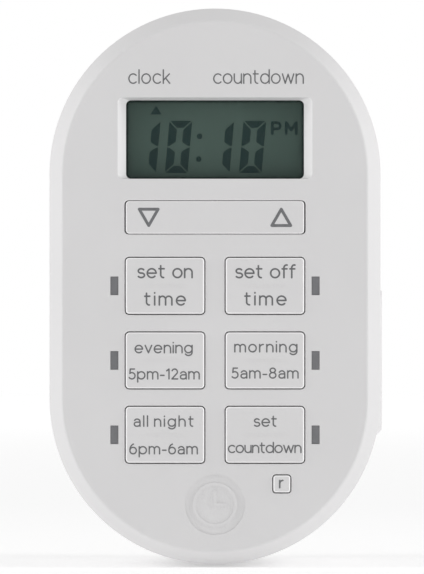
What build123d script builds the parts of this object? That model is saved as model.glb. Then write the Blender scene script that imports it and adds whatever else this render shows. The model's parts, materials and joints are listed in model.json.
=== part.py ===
from build123d import *
from math import atan2, degrees
import os

# Plug-in digital timer: a stadium-shaped case with a display and keys on the front, a three-pin plug
# on the back and one outlet on its right-hand side.
# Frame: +X to the right of someone facing the timer, +Y into the wall, +Z up, in millimetres. The origin
# lies on the rear face, half-way between the two blades. A height is a distance in front of the rear face.

# ---- case ----
BODY_WIDTH = 65.5
BODY_HEIGHT = 110.0
BODY_DEPTH = 36.0
BODY_Z = -18.0  # middle of the case below the blades
WALL = 2.0
PARTING = 18.0  # height of the joint between the two shells
SLOPE_WIDTH = 2.6  # sloped band round the front face
SLOPE_DEPTH = 3.0
SLOPE_ANGLE = degrees(atan2(SLOPE_WIDTH, SLOPE_DEPTH))
FRONT_EDGE_R = 0.8
SLOPE_EDGE_R = 0.5
REAR_EDGE_R = 2.5
SHADOW_GAP = 0.35  # fine groove where the shells meet
LIP_WIDTH = 0.8
LIP_HEIGHT = 1.2
LIP_CLEARANCE = 0.15
CEILING = BODY_DEPTH - WALL
CAVITY_SLOPE_START = BODY_DEPTH - SLOPE_DEPTH - 1.8
CAVITY_TAPER = SLOPE_ANGLE - 5
CEILING_OVERLAP = 0.5  # posts run this far into the front wall
PILOT_SPARE = 2.0
RECESS_SPARE = 0.001
FACE_BAND = 0.01  # faces this near a height are taken to lie at it
MOUTH_REACH = 46.0  # the longest edge of a key's opening is shorter than this

# ---- screws that join the shells ----
CASE_SCREW_SPOTS = [(-25.4, 26.0), (25.4, 26.0), (-21.5, -39.0), (21.5, -39.0)]
BOSS_R = 3.0
REAR_BOSS_R = 3.4
PILOT_R = 1.35
SHANK_R = 1.2
SHANK_HOLE_R = 1.6
SCREW_HEAD_R = 2.3
SCREW_HEAD_HEIGHT = 1.6
SCREW_WELL_R = 2.7
SCREW_WELL_DEPTH = 6.0
CASE_SCREW_LENGTH = 19.0
DRIVE_SLOT = 0.5
DRIVE_REACH = 1.3  # length of the cross slot as a share of the head's radius
DRIVE_DEPTH = 0.6  # and its depth as a share of the head's thickness

# ---- keys ----
KEY_W = 15.5
KEY_H = 11.05
KEY_X = 9.855
KEY_ROWS = (0.13, -14.58, -29.25)
KEY_R = 0.7
KEY_GAP = 0.2
KEY_RISE = 0.25  # keys stand this far out of the face
KEY_TOP = BODY_DEPTH + KEY_RISE
KEY_EDGE_R = 0.4
OPENING_EDGE_R = 0.25
KEY_BOTTOM = 33.0
FLANGE_MARGIN = 0.7
FLANGE_TOP = CEILING - 0.1
RIB_LENGTH = 8.1
RIB_WIDTH = 0.3
RIB_HEIGHT = 0.06
RESET_SIZE = 3.35
RESET_X = 13.18
RESET_Z = -38.94
RESET_R = 0.5

# ---- up and down key, which rocks about its middle ----
BAR_W = 35.2
BAR_H = 6.45
BAR_Z = 13.63
BAR_END_GAP = 0.25  # wider than the side gap, because the ends swing as the key rocks
BAR_SIDE_GAP = 0.12
BAR_TOP = BODY_DEPTH + 0.1
BAR_EDGE_R = 0.3
BAR_R = 0.7
BAR_AXLE_HEIGHT = 32.6
BAR_HUB_R = 1.3
BAR_AXLE_R = 0.7
BAR_BORE_R = 0.76
BAR_LUG_GAP = 0.45
BAR_LUG_THICKNESS = 1.4
BAR_LUG_WIDTH = 3.4
BAR_LUG_BOTTOM = 31.2
BAR_DOME_X = 13.0
BAR_AXLE_LENGTH = BAR_H + 2 * (BAR_LUG_GAP + BAR_LUG_THICKNESS)

# ---- display ----
WINDOW_W = 35.15
WINDOW_H = 15.5
WINDOW_Z = 29.03
WINDOW_MOUTH_W = 38.4
WINDOW_MOUTH_H = 16.05
WINDOW_MOUTH_Z = 29.27
WINDOW_R = 1.0
LENS_W = 38.4
LENS_H = 17.9
LENS_THICKNESS = 1.1
PANEL_W = 37.0
PANEL_H = 16.8
PANEL_LEDGE = 1.6  # rear glass that carries the contacts stands this much higher
PANEL_TOP = 32.6
GLASS_THICKNESS = 1.0
PANEL_BOTTOM = PANEL_TOP - 2 * GLASS_THICKNESS
REFLECTOR_THICKNESS = 0.2
HOLDER_W = 39.2
HOLDER_H = 20.1
HOLDER_Z = 29.75
HOLDER_TOP = 32.5
HOLDER_WINDOW_W = 33.0
HOLDER_WINDOW_H = 13.0
HOLDER_GAP = 0.3
ZEBRA_H = 1.1
ZEBRA_W = 34.0
ZEBRA_Z = WINDOW_Z + PANEL_H / 2 + PANEL_LEDGE / 2 - 0.05

# ---- indicator bars ----
INDICATOR_X = 19.84
INDICATOR_W = 1.4
INDICATOR_H = 3.5
INDICATOR_GAP = 0.08
INDICATOR_FLANGE = 0.4
INDICATOR_BOTTOM = 30.3
LED_W = 1.25
LED_H = 2.0
LED_THICKNESS = 0.8
LED_LENS_H = 1.3
MOULD_TAPER = 8.0

# ---- moulded badge ----
BADGE_Z = -43.03
BADGE_R = 5.95
BADGE_DEPTH = 0.22
BADGE_RELIEF = 0.17
BADGE_RING_R = 4.1
BADGE_LINE = 0.62
BADGE_HAND_LENGTHS = (2.6, 2.0)

# ---- control board and keypad ----
BOARD_W = 44.0
BOARD_H = 88.0
BOARD_CORNER_R = 6.0
BOARD_TOP = 29.0
BOARD_THICKNESS = 1.6
BOARD_BOTTOM = BOARD_TOP - BOARD_THICKNESS
BOARD_NOTCH_R = 3.9
BOARD_POSTS = [(-13.0, 41.5), (13.0, 41.5), (-20.2, 12.6), (20.2, 12.6), (-20.2, -33.6), (20.2, -33.6)]
POST_R = 1.6
POST_PILOT_R = 0.85
POST_PILOT_DEPTH = 3.5
SMALL_SHANK_R = 0.7
SMALL_HEAD_R = 1.5
SMALL_HEAD_HEIGHT = 1.0
SMALL_SCREW_LENGTH = 4.6
SHORT_SCREW_LENGTH = 2.0
MAT_W = 36.6
MAT_TOP_Z = 18.0
MAT_BOTTOM_Z = -42.4
MAT_THICKNESS = 1.0
DOME_TOP = 32.95
DOME_BASE_R = 4.2
DOME_TOP_R = 2.7
DOME_HOLLOW_R = 3.6
DOME_ROOF = 1.3
DOME_HOLLOW_HEIGHT = DOME_TOP - BOARD_TOP - DOME_ROOF
HOLLOW_TAPER = 22.0
SMALL_DOME_BASE_R = 2.5
SMALL_DOME_TOP_R = 1.5
SMALL_DOME_HOLLOW_R = 2.0
PILL_R = 1.5
SMALL_PILL_R = 0.8
PILL_THICKNESS = 0.3
PILL_BOTTOM = 29.9

# ---- plug ----
BLADE_X = 6.35
BLADE_THICKNESS = 1.5
LINE_BLADE_W = 6.35
NEUTRAL_BLADE_W = 7.9
BLADE_LENGTH = 17.5
BLADE_TIP = 1.6
BLADE_HOLE_R = 1.6
BLADE_HOLE_FROM_FACE = 11.9
BLADE_SLOT_GAP = 0.12
BLADE_EDGE = 0.35
GROUND_DROP = 11.86  # ground pin below the blades, and ground hole below the slots
GROUND_Z = -BODY_Z - GROUND_DROP
GROUND_PIN_R = 2.38
GROUND_PIN_LENGTH = 20.5
GROUND_COLLAR_R = 3.0
GROUND_FLANGE_R = 4.2
GROUND_TAIL_R = 1.5
PIN_HOLE_GAP = 0.12
GROUND_TIP_R = 1.9
SHOULDER_W = 9.6
SHOULDER_START = 2.1
SHOULDER_TOP = 5.0
TAIL_W = 5.0
TAIL_TOP = 11.0
RETAINER_W = 34.0
RETAINER_H = 22.0
RETAINER_Z = 13.0
RETAINER_THICKNESS = 2.5
RETAINER_TOP = SHOULDER_TOP + RETAINER_THICKNESS
RETAINER_SPOTS = [(-13.5, 9.0), (13.5, 9.0)]
RETAINER_GAP = 0.2

# ---- side outlet ----
OUTLET_Z = BODY_Z - 14.7
OUTLET_X = 33.15
OUTLET_W = 26.0
OUTLET_H = 30.0
OUTLET_CORNER_R = 3.0
OUTLET_CHAMFER = 1.2
OUTLET_GAP = 0.12
OUTLET_PLATE = 2.5
OUTLET_SKIRT_X = 24.0
OUTLET_SKIRT_WALL = 1.5
OUTLET_FLANGE_X = (27.2, 28.7)
OUTLET_FLANGE_MARGIN = 1.5
OUTLET_PAD_X = (28.8, 31.0)
OUTLET_PAD_MARGIN = 2.4
SLOT_RISE = 4.9
SLOT_SPACING = 12.7
SLOT_WIDTH = 2.0
LINE_SLOT_LENGTH = 7.0
NEUTRAL_SLOT_LENGTH = 8.5
GROUND_HOLE_R = 2.7
SLOT_CHAMFER = 0.35
OUTLET_SLOTS = [
    (SLOT_SPACING / 2, SLOT_RISE, SLOT_WIDTH, LINE_SLOT_LENGTH),
    (-SLOT_SPACING / 2, SLOT_RISE, SLOT_WIDTH, NEUTRAL_SLOT_LENGTH),
]

# ---- contacts behind the outlet ----
CARRIER_FRONT_X = 30.3
CARRIER_STEP_X = 22.6
CARRIER_BACK_X = 12.0
CARRIER_W = 22.4
CARRIER_REAR_W = 19.0
CARRIER_H = 26.4
CARRIER_CORNER_R = 1.9
CARRIER_BOTTOM = 8.0
CAVITY_BACK_X = 13.2
CONTACT_CAVITY_W = 4.0
CONTACT_CAVITY_H = 9.4
CONTACT_FRONT_X = 30.0
CONTACT_BACK_X = 13.6
CONTACT_PINCH_X = 26.0
CONTACT_THICKNESS = 0.7
CONTACT_WIDTH = 6.4
CONTACT_GRIP = 0.55
CONTACT_SPREAD = 1.5
GROUND_SLEEVE_R = 2.35
GROUND_SLEEVE_WALL = 0.6
GROUND_CAVITY_R = 3.4
GROUND_SLEEVE_SPLIT = 1.4
CONTACT_TAB_W = 4.0
CONTACT_TAB_X = 15.6
CONTACT_TAB_RISE = 3.5

# ---- power board ----
POWER_BOARD_BOTTOM = 5.4
POWER_BOARD_TOP = 7.0
POWER_BOARD_Z = (-44.0, -2.5)
POWER_SCREWS = [(-20.0, -8.0), (-20.0, -31.0), (8.0, -41.0), (10.0, -5.4)]
RELAY_SIZE = (19.0, 15.5, 15.3)
RELAY_SPOT = (-8.5, -13.2)
RELAY_EDGE = 0.6
FILM_SIZE = (18.0, 8.5, 15.0)
FILM_SPOT = (-8.5, -27.4)
FILM_EDGE = 0.8
CAN_SPOTS = [(-13.5, -37.0, 4.0, 11.5), (8.0, -33.6, 2.6, 9.0)]  # (x, z, radius, height)
CAN_GROOVE_HEIGHT = 1.2
CAN_GROOVE_W = 0.6
CAN_GROOVE_DEPTH = 0.22
CAN_EDGE_R = 0.4
DIODE_XS = (2.9, 5.5, 8.1, 10.7)
DIODE_Z = -23.0
DIODE_R = 1.1
DIODE_LENGTH = 4.2
DIODE_SPAN = 8.0
LEAD_R = 0.3
LEAD_RUN_R = 0.27
RESISTOR_R = 1.4
RESISTOR_LENGTH = 6.5
RESISTOR_SPAN = 9.4
RESISTOR_SPOT = (6.6, -16.6)
VARISTOR_R = 4.4
VARISTOR_X = (4.2, 7.6)
VARISTOR_Z = -9.6
VARISTOR_EDGE_R = 1.2
DRIVER_SPOT = (2.0, -34.6)
DRIVER_R = 2.3
DRIVER_HEIGHT = 4.6
DRIVER_LEG = 2.0
HEADER_SPOT = (-3.0, -41.4)
HEADER_SIZE = (10.0, 2.4)
HEADER_HEIGHT = 3.0
RIBBON_W = 8.9
RIBBON_THICKNESS = 0.8
RIBBON_BEND_HEIGHTS = (13.0, 17.2, 21.4)
RIBBON_BULGE = 2.2

# ---- parts on the back of the control board ----
CHIP_SPOT = (-6.0, -27.0)
CHIP_SIZE = 10.0
CHIP_THICKNESS = 1.4
CHIP_LEAD_REACH = 1.0
CHIP_LEADS = 8
CHIP_LEAD_W = 0.55
CHIP_LEAD_THICKNESS = 0.35
CHIP_PITCH = 1.1
CRYSTAL_SPOT = (5.5, -24.0)
CRYSTAL_R = 1.05
CRYSTAL_LENGTH = 6.2
CELL_SPOT = (0.0, 29.0)
CELL_R = 7.8
CELL_THICKNESS = 5.4

# ---- wires ----
WIRE_R = 1.0
WIRE_BEND_R = 2.6
LINE_WIRE_HEIGHT = 17.0
LINE_WIRE_END = (2.6, -4.0)
BOARD_NEUTRAL_HEIGHT = 9.6
BOARD_NEUTRAL_X = -12.0
BOARD_NEUTRAL_ZS = (9.0, 3.0, -3.8)
NEUTRAL_WIRE_HEIGHT = 19.5
NEUTRAL_WIRE_BEND_Z = 12.0
SWITCHED_WIRE_RISES = (6.0, 3.0)
SWITCHED_WIRE_END = (9.6, -9.8)
GROUND_WIRE_HEIGHT = 19.6
GROUND_WIRE_BENDS = [(5.4, -4.0), (6.0, PARTING)]

# ---- label ----
LABEL_W = 30.0
LABEL_H = 16.0
LABEL_Z = -20.0
LABEL_RECESS = 0.3
LABEL_THICKNESS = 0.2
LABEL_GAP = 0.2


def level(height, x=0.0, z=0.0):
    """Plane parallel to the front face, drawn as seen from the front, centred on the case."""
    return Plane(origin=(x, -height, BODY_Z + z), x_dir=(1, 0, 0), z_dir=(0, -1, 0))


def side(x, height=PARTING, z=OUTLET_Z):
    """Plane that faces +X, whose first axis runs towards the wall and whose second runs up."""
    return Plane(origin=(x, -height, z), x_dir=(0, 1, 0), z_dir=(1, 0, 0))


def stadium(inset=0.0):
    """Outline of the case, moved inwards."""
    SlotOverall(BODY_HEIGHT - 2 * inset, BODY_WIDTH - 2 * inset, rotation=90)


def stadium_hole(inset):
    """The same outline as a hole."""
    SlotOverall(BODY_HEIGHT - 2 * inset, BODY_WIDTH - 2 * inset, rotation=90, mode=Mode.SUBTRACT)


def outlet_outline(margin=0.0):
    """Outline of the outlet's face, grown by a margin."""
    RectangleRounded(OUTLET_W + 2 * margin, OUTLET_H + 2 * margin, OUTLET_CORNER_R + margin)


def front_edges(part, height):
    """Edges of the faces that lie flat at this height."""
    band = (-height - FACE_BAND, -height + FACE_BAND)
    flat = part.faces().filter_by(Axis.Y).filter_by_position(Axis.Y, *band)
    return flat.edges()


def in_key_area(edge):
    """True of the edges of the keys' openings, which lie inside the flat front."""
    inside = edge.center().X ** 2 < (BODY_WIDTH / 2 - 2 * SLOPE_WIDTH) ** 2
    return inside and edge.center().Z - BODY_Z < WINDOW_Z and edge.length < MOUTH_REACH


KEY_SPOTS = {
    "key_on_time": (-KEY_X, KEY_ROWS[0]),
    "key_off_time": (KEY_X, KEY_ROWS[0]),
    "key_evening": (-KEY_X, KEY_ROWS[1]),
    "key_morning": (KEY_X, KEY_ROWS[1]),
    "key_all_night": (-KEY_X, KEY_ROWS[2]),
    "key_countdown": (KEY_X, KEY_ROWS[2]),
}
BAR_DOME_SPOTS = [(-BAR_DOME_X, BAR_Z), (BAR_DOME_X, BAR_Z)]
LARGE_DOME_SPOTS = list(KEY_SPOTS.values()) + BAR_DOME_SPOTS
INDICATOR_SPOTS = [(INDICATOR_X * (1 if x > 0 else -1), z) for x, z in KEY_SPOTS.values()]
BAR_LUG_ZS = [BAR_Z + s * (BAR_H / 2 + BAR_LUG_GAP + BAR_LUG_THICKNESS / 2) for s in (-1, 1)]
DOME_RISE = DOME_TOP - BOARD_TOP - MAT_THICKNESS
DOME_TAPER = degrees(atan2(DOME_BASE_R - DOME_TOP_R, DOME_RISE))
SMALL_DOME_TAPER = degrees(atan2(SMALL_DOME_BASE_R - SMALL_DOME_TOP_R, DOME_RISE))
os.makedirs("parts", exist_ok=True)
pieces = {}

# ---- front cover ----
with BuildPart() as front_cover:
    with BuildSketch(level(PARTING)):
        stadium()
    extrude(amount=BODY_DEPTH - SLOPE_DEPTH - PARTING)
    with BuildSketch(level(BODY_DEPTH - SLOPE_DEPTH)):
        stadium()
    extrude(amount=SLOPE_DEPTH, taper=SLOPE_ANGLE)
    fillet(front_edges(front_cover.part, BODY_DEPTH), radius=FRONT_EDGE_R)
    slope_start = -(BODY_DEPTH - SLOPE_DEPTH)
    slope_band = (slope_start - FACE_BAND, slope_start + FACE_BAND)
    fillet(front_cover.edges().filter_by_position(Axis.Y, *slope_band), radius=SLOPE_EDGE_R)
    with BuildSketch(level(PARTING)):
        stadium(WALL)
    extrude(amount=CAVITY_SLOPE_START - PARTING, mode=Mode.SUBTRACT)
    with BuildSketch(level(CAVITY_SLOPE_START)):
        stadium(WALL)
    extrude(amount=CEILING - CAVITY_SLOPE_START, taper=CAVITY_TAPER, mode=Mode.SUBTRACT)
    # pads that the outlet's flange bears on
    with BuildSketch(side(OUTLET_PAD_X[0])):
        outlet_outline(OUTLET_PAD_MARGIN)
        split(bisect_by=Plane.YZ, keep=Keep.BOTTOM)
    extrude(amount=OUTLET_PAD_X[1] - OUTLET_PAD_X[0])
    with BuildSketch(side(OUTLET_PAD_X[0] - WALL / 2)):
        outlet_outline(OUTLET_GAP)
    extrude(amount=BODY_WIDTH / 2, mode=Mode.SUBTRACT)
    # rebate for the rear housing's lip, and half of the shadow groove
    with BuildSketch(level(PARTING)):
        stadium(WALL - LIP_WIDTH - LIP_CLEARANCE)
    extrude(amount=LIP_HEIGHT + LIP_CLEARANCE, mode=Mode.SUBTRACT)
    with BuildSketch(level(PARTING)):
        stadium()
        stadium_hole(SHADOW_GAP)
    extrude(amount=SHADOW_GAP, mode=Mode.SUBTRACT)
    # bosses, posts for the control board and lugs for the up and down key's axle
    with BuildSketch(level(PARTING)):
        with Locations(*CASE_SCREW_SPOTS):
            Circle(BOSS_R)
    extrude(amount=CEILING + CEILING_OVERLAP - PARTING)
    with BuildSketch(level(BOARD_TOP)):
        with Locations(*BOARD_POSTS):
            Circle(POST_R)
    extrude(amount=CEILING + CEILING_OVERLAP - BOARD_TOP)
    with BuildSketch(level(BAR_LUG_BOTTOM)):
        with Locations(*[(0, z) for z in BAR_LUG_ZS]):
            Rectangle(BAR_LUG_WIDTH, BAR_LUG_THICKNESS)
    extrude(amount=CEILING + CEILING_OVERLAP - BAR_LUG_BOTTOM)
    # screw and post pilots, and the axle's bores
    with BuildSketch(level(PARTING)):
        with Locations(*CASE_SCREW_SPOTS):
            Circle(PILOT_R)
    extrude(amount=CASE_SCREW_LENGTH - PARTING + SCREW_WELL_DEPTH + PILOT_SPARE, mode=Mode.SUBTRACT)
    with BuildSketch(level(BOARD_TOP)):
        with Locations(*BOARD_POSTS):
            Circle(POST_PILOT_R)
    extrude(amount=POST_PILOT_DEPTH, mode=Mode.SUBTRACT)
    with BuildSketch(Plane.XY.offset(BODY_Z + min(BAR_LUG_ZS) - BAR_LUG_THICKNESS)):
        with Locations((0, -BAR_AXLE_HEIGHT)):
            Circle(BAR_BORE_R)
    extrude(amount=max(BAR_LUG_ZS) - min(BAR_LUG_ZS) + 2 * BAR_LUG_THICKNESS, mode=Mode.SUBTRACT)
    # openings for the keys and the indicator bars
    with BuildSketch(level(CEILING - WALL / 2)):
        with Locations(*KEY_SPOTS.values()):
            RectangleRounded(KEY_W + 2 * KEY_GAP, KEY_H + 2 * KEY_GAP, KEY_R + KEY_GAP)
        with Locations((0, BAR_Z)):
            RectangleRounded(BAR_W + 2 * BAR_END_GAP, BAR_H + 2 * BAR_SIDE_GAP, BAR_R + BAR_SIDE_GAP)
        with Locations((RESET_X, RESET_Z)):
            RectangleRounded(RESET_SIZE + 2 * KEY_GAP, RESET_SIZE + 2 * KEY_GAP, RESET_R + KEY_GAP)
    extrude(amount=2 * WALL, mode=Mode.SUBTRACT)
    key_mouths = front_edges(front_cover.part, BODY_DEPTH).filter_by(in_key_area)
    fillet(key_mouths, radius=OPENING_EDGE_R)
    with BuildSketch(level(CEILING - WALL / 2)):
        with Locations(*INDICATOR_SPOTS):
            Rectangle(INDICATOR_W + 2 * INDICATOR_GAP, INDICATOR_H + 2 * INDICATOR_GAP)
    extrude(amount=2 * WALL, mode=Mode.SUBTRACT)
    # display recess with sloping ends
    with BuildSketch(level(BODY_DEPTH + RECESS_SPARE)):
        with Locations((0, WINDOW_MOUTH_Z)):
            RectangleRounded(WINDOW_MOUTH_W, WINDOW_MOUTH_H, WINDOW_R)
    with BuildSketch(level(CEILING - RECESS_SPARE)):
        with Locations((0, WINDOW_Z)):
            RectangleRounded(WINDOW_W, WINDOW_H, WINDOW_R)
    loft(mode=Mode.SUBTRACT)
    # badge: a shallow round recess with a raised clock face in it
    with BuildSketch(level(BODY_DEPTH - BADGE_DEPTH)):
        with Locations((0, BADGE_Z)):
            Circle(BADGE_R)
    extrude(amount=2 * BADGE_DEPTH, mode=Mode.SUBTRACT)
    with BuildSketch(level(BODY_DEPTH - BADGE_DEPTH)):
        with Locations((0, BADGE_Z)):
            Circle(BADGE_RING_R + BADGE_LINE / 2)
            Circle(BADGE_RING_R - BADGE_LINE / 2, mode=Mode.SUBTRACT)
        with Locations((0, BADGE_Z + BADGE_HAND_LENGTHS[0] / 2)):
            SlotCenterToCenter(BADGE_HAND_LENGTHS[0], BADGE_LINE, rotation=90)
        with Locations((BADGE_HAND_LENGTHS[1] / 2, BADGE_Z)):
            SlotCenterToCenter(BADGE_HAND_LENGTHS[1], BADGE_LINE)
    extrude(amount=BADGE_RELIEF)
pieces["front_cover"] = front_cover

# ---- rear housing ----
with BuildPart() as rear_housing:
    with BuildSketch(level(0)):
        stadium()
    extrude(amount=PARTING)
    fillet(front_edges(rear_housing.part, 0), radius=REAR_EDGE_R)
    with BuildSketch(level(WALL)):
        stadium(WALL)
    extrude(amount=PARTING, mode=Mode.SUBTRACT)
    with BuildSketch(level(PARTING)):
        stadium(WALL - LIP_WIDTH)
        stadium_hole(WALL)
    extrude(amount=LIP_HEIGHT)
    with BuildSketch(level(PARTING - SHADOW_GAP)):
        stadium()
        stadium_hole(SHADOW_GAP)
    extrude(amount=SHADOW_GAP, mode=Mode.SUBTRACT)
    with BuildSketch(level(WALL / 2)):
        with Locations(*CASE_SCREW_SPOTS):
            Circle(REAR_BOSS_R)
    extrude(amount=PARTING - WALL / 2)
    with BuildSketch(level(WALL / 2)):
        with Locations(*RETAINER_SPOTS):
            Circle(BOSS_R)
    extrude(amount=SHOULDER_TOP - WALL / 2)
    with BuildSketch(level(WALL / 2)):
        with Locations(*POWER_SCREWS):
            Circle(BOSS_R)
    extrude(amount=POWER_BOARD_BOTTOM - WALL / 2)
    with BuildSketch(side(OUTLET_PAD_X[0])):
        outlet_outline(OUTLET_PAD_MARGIN)
        split(bisect_by=Plane.YZ, keep=Keep.TOP)
    extrude(amount=OUTLET_PAD_X[1] - OUTLET_PAD_X[0])
    with BuildSketch(side(OUTLET_PAD_X[0] - WALL / 2)):
        outlet_outline(OUTLET_GAP)
    extrude(amount=BODY_WIDTH / 2, mode=Mode.SUBTRACT)
    with BuildSketch(level(0)):
        with Locations(*CASE_SCREW_SPOTS):
            Circle(SHANK_HOLE_R)
    extrude(amount=PARTING, mode=Mode.SUBTRACT)
    with BuildSketch(level(0)):
        with Locations(*CASE_SCREW_SPOTS):
            Circle(SCREW_WELL_R)
    extrude(amount=SCREW_WELL_DEPTH, mode=Mode.SUBTRACT)
    with BuildSketch(level(WALL)):
        with Locations(*RETAINER_SPOTS, *POWER_SCREWS):
            Circle(POST_PILOT_R)
    extrude(amount=PARTING, mode=Mode.SUBTRACT)
    # holes for the blades and the ground pin, and a recess for the label
    with BuildSketch(level(0, z=-BODY_Z)):
        with Locations((BLADE_X, 0)):
            Rectangle(BLADE_THICKNESS + 2 * BLADE_SLOT_GAP, LINE_BLADE_W + 2 * BLADE_SLOT_GAP)
        with Locations((-BLADE_X, 0)):
            Rectangle(BLADE_THICKNESS + 2 * BLADE_SLOT_GAP, NEUTRAL_BLADE_W + 2 * BLADE_SLOT_GAP)
        with Locations((0, -GROUND_DROP)):
            Circle(GROUND_COLLAR_R + PIN_HOLE_GAP)
    extrude(amount=WALL, mode=Mode.SUBTRACT)
    with BuildSketch(level(0)):
        with Locations((0, LABEL_Z)):
            RectangleRounded(LABEL_W + 2 * LABEL_GAP, LABEL_H + 2 * LABEL_GAP, WINDOW_R)
    extrude(amount=LABEL_RECESS, mode=Mode.SUBTRACT)
pieces["rear_housing"] = rear_housing


# ---- screws ----
def screw(head_spots, head_height, head_r, head_thickness, shank_r, length):
    """Cross-slotted screws put in from behind, all with their heads at the same height."""
    with BuildPart() as screws:
        with BuildSketch(level(head_height - head_thickness)):
            with Locations(*head_spots):
                Circle(head_r)
        extrude(amount=head_thickness)
        fillet(front_edges(screws.part, head_height - head_thickness), radius=head_thickness / 3)
        with BuildSketch(level(head_height)):
            with Locations(*head_spots):
                Circle(shank_r)
        extrude(amount=length)
        chamfer(front_edges(screws.part, head_height + length), length=shank_r / 2)
        with BuildSketch(level(head_height - head_thickness)):
            with Locations(*head_spots):
                Rectangle(head_r * DRIVE_REACH, DRIVE_SLOT)
                Rectangle(DRIVE_SLOT, head_r * DRIVE_REACH)
        extrude(amount=head_thickness * DRIVE_DEPTH, mode=Mode.SUBTRACT)
    return screws


pieces["case_screws"] = screw(
    CASE_SCREW_SPOTS, SCREW_WELL_DEPTH, SCREW_HEAD_R, SCREW_HEAD_HEIGHT, SHANK_R, CASE_SCREW_LENGTH
)
pieces["board_screws"] = screw(
    BOARD_POSTS, BOARD_BOTTOM, SMALL_HEAD_R, SMALL_HEAD_HEIGHT, SMALL_SHANK_R, SMALL_SCREW_LENGTH
)


def short_screw(head_spots, seat_height, length):
    """Cross-slotted screws put in from the front, into the rear housing."""
    with BuildPart() as screws:
        with BuildSketch(level(seat_height)):
            with Locations(*head_spots):
                Circle(SMALL_HEAD_R)
        extrude(amount=SMALL_HEAD_HEIGHT)
        fillet(front_edges(screws.part, seat_height + SMALL_HEAD_HEIGHT), radius=SMALL_HEAD_HEIGHT / 3)
        with BuildSketch(level(seat_height)):
            with Locations(*head_spots):
                Circle(SMALL_SHANK_R)
        extrude(amount=-length)
        with BuildSketch(level(seat_height + SMALL_HEAD_HEIGHT)):
            with Locations(*head_spots):
                Rectangle(SMALL_HEAD_R * DRIVE_REACH, DRIVE_SLOT)
                Rectangle(DRIVE_SLOT, SMALL_HEAD_R * DRIVE_REACH)
        extrude(amount=-SMALL_HEAD_HEIGHT * DRIVE_DEPTH, mode=Mode.SUBTRACT)
    return screws


pieces["retainer_screws"] = short_screw(
    RETAINER_SPOTS, RETAINER_TOP, SHORT_SCREW_LENGTH + RETAINER_THICKNESS
)
pieces["power_board_screws"] = short_screw(
    POWER_SCREWS, POWER_BOARD_TOP, SHORT_SCREW_LENGTH + BOARD_THICKNESS
)


# ---- keys ----
def push_key(x, z, width, height, corner_r, rib):
    """Key cap with a flange that keeps it behind the front wall."""
    with BuildPart() as key:
        with BuildSketch(level(KEY_BOTTOM, x, z)):
            RectangleRounded(width, height, corner_r)
        extrude(amount=KEY_TOP - KEY_BOTTOM)
        fillet(front_edges(key.part, KEY_TOP), radius=KEY_EDGE_R)
        with BuildSketch(level(KEY_BOTTOM, x, z)):
            RectangleRounded(width + 2 * FLANGE_MARGIN, height + 2 * FLANGE_MARGIN, corner_r + FLANGE_MARGIN)
        extrude(amount=FLANGE_TOP - KEY_BOTTOM)
        if rib:
            with BuildSketch(level(KEY_TOP, x, z)):
                SlotOverall(RIB_LENGTH, RIB_WIDTH)
            extrude(amount=RIB_HEIGHT)
    return key


for name, (x, z) in KEY_SPOTS.items():
    pieces[name] = push_key(x, z, KEY_W, KEY_H, KEY_R, rib=True)
pieces["key_reset"] = push_key(RESET_X, RESET_Z, RESET_SIZE, RESET_SIZE, RESET_R, rib=False)

with BuildPart() as key_up_down:
    with BuildSketch(level(KEY_BOTTOM, z=BAR_Z)):
        RectangleRounded(BAR_W, BAR_H, BAR_R)
    extrude(amount=BAR_TOP - KEY_BOTTOM)
    fillet(front_edges(key_up_down.part, BAR_TOP), radius=BAR_EDGE_R)
    with BuildSketch(Plane.XY.offset(BODY_Z + BAR_Z - BAR_H / 2)):
        with Locations((0, -BAR_AXLE_HEIGHT)):
            Circle(BAR_HUB_R)
    extrude(amount=BAR_H)
    with BuildSketch(Plane.XY.offset(BODY_Z + BAR_Z - BAR_AXLE_LENGTH / 2)):
        with Locations((0, -BAR_AXLE_HEIGHT)):
            Circle(BAR_AXLE_R)
    extrude(amount=BAR_AXLE_LENGTH)
pieces["key_up_down"] = key_up_down

# ---- silicone keypad with a hollow dome under each key ----
with BuildPart() as keypad_mat:
    with BuildSketch(level(BOARD_TOP, z=(MAT_TOP_Z + MAT_BOTTOM_Z) / 2)):
        RectangleRounded(MAT_W, MAT_TOP_Z - MAT_BOTTOM_Z, WINDOW_R)
        with Locations(*[(x, z - (MAT_TOP_Z + MAT_BOTTOM_Z) / 2) for x, z in CASE_SCREW_SPOTS]):
            Circle(BOARD_NOTCH_R, mode=Mode.SUBTRACT)
    extrude(amount=MAT_THICKNESS)
    with BuildSketch(level(BOARD_TOP + MAT_THICKNESS)):
        with Locations(*LARGE_DOME_SPOTS):
            Circle(DOME_BASE_R)
    extrude(amount=DOME_RISE, taper=DOME_TAPER)
    with BuildSketch(level(BOARD_TOP + MAT_THICKNESS)):
        with Locations((RESET_X, RESET_Z)):
            Circle(SMALL_DOME_BASE_R)
    extrude(amount=DOME_RISE, taper=SMALL_DOME_TAPER)
    # hollows, each with a plunger left in the middle
    with BuildSketch(level(BOARD_TOP)):
        with Locations(*LARGE_DOME_SPOTS):
            Circle(DOME_HOLLOW_R)
        with Locations((RESET_X, RESET_Z)):
            Circle(SMALL_DOME_HOLLOW_R)
    extrude(amount=DOME_HOLLOW_HEIGHT, taper=HOLLOW_TAPER, mode=Mode.SUBTRACT)
    with BuildSketch(level(PILL_BOTTOM + PILL_THICKNESS)):
        with Locations(*LARGE_DOME_SPOTS):
            Circle(PILL_R)
        with Locations((RESET_X, RESET_Z)):
            Circle(SMALL_PILL_R)
    extrude(amount=DOME_TOP - DOME_ROOF / 2 - PILL_BOTTOM - PILL_THICKNESS)
pieces["keypad_mat"] = keypad_mat

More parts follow.
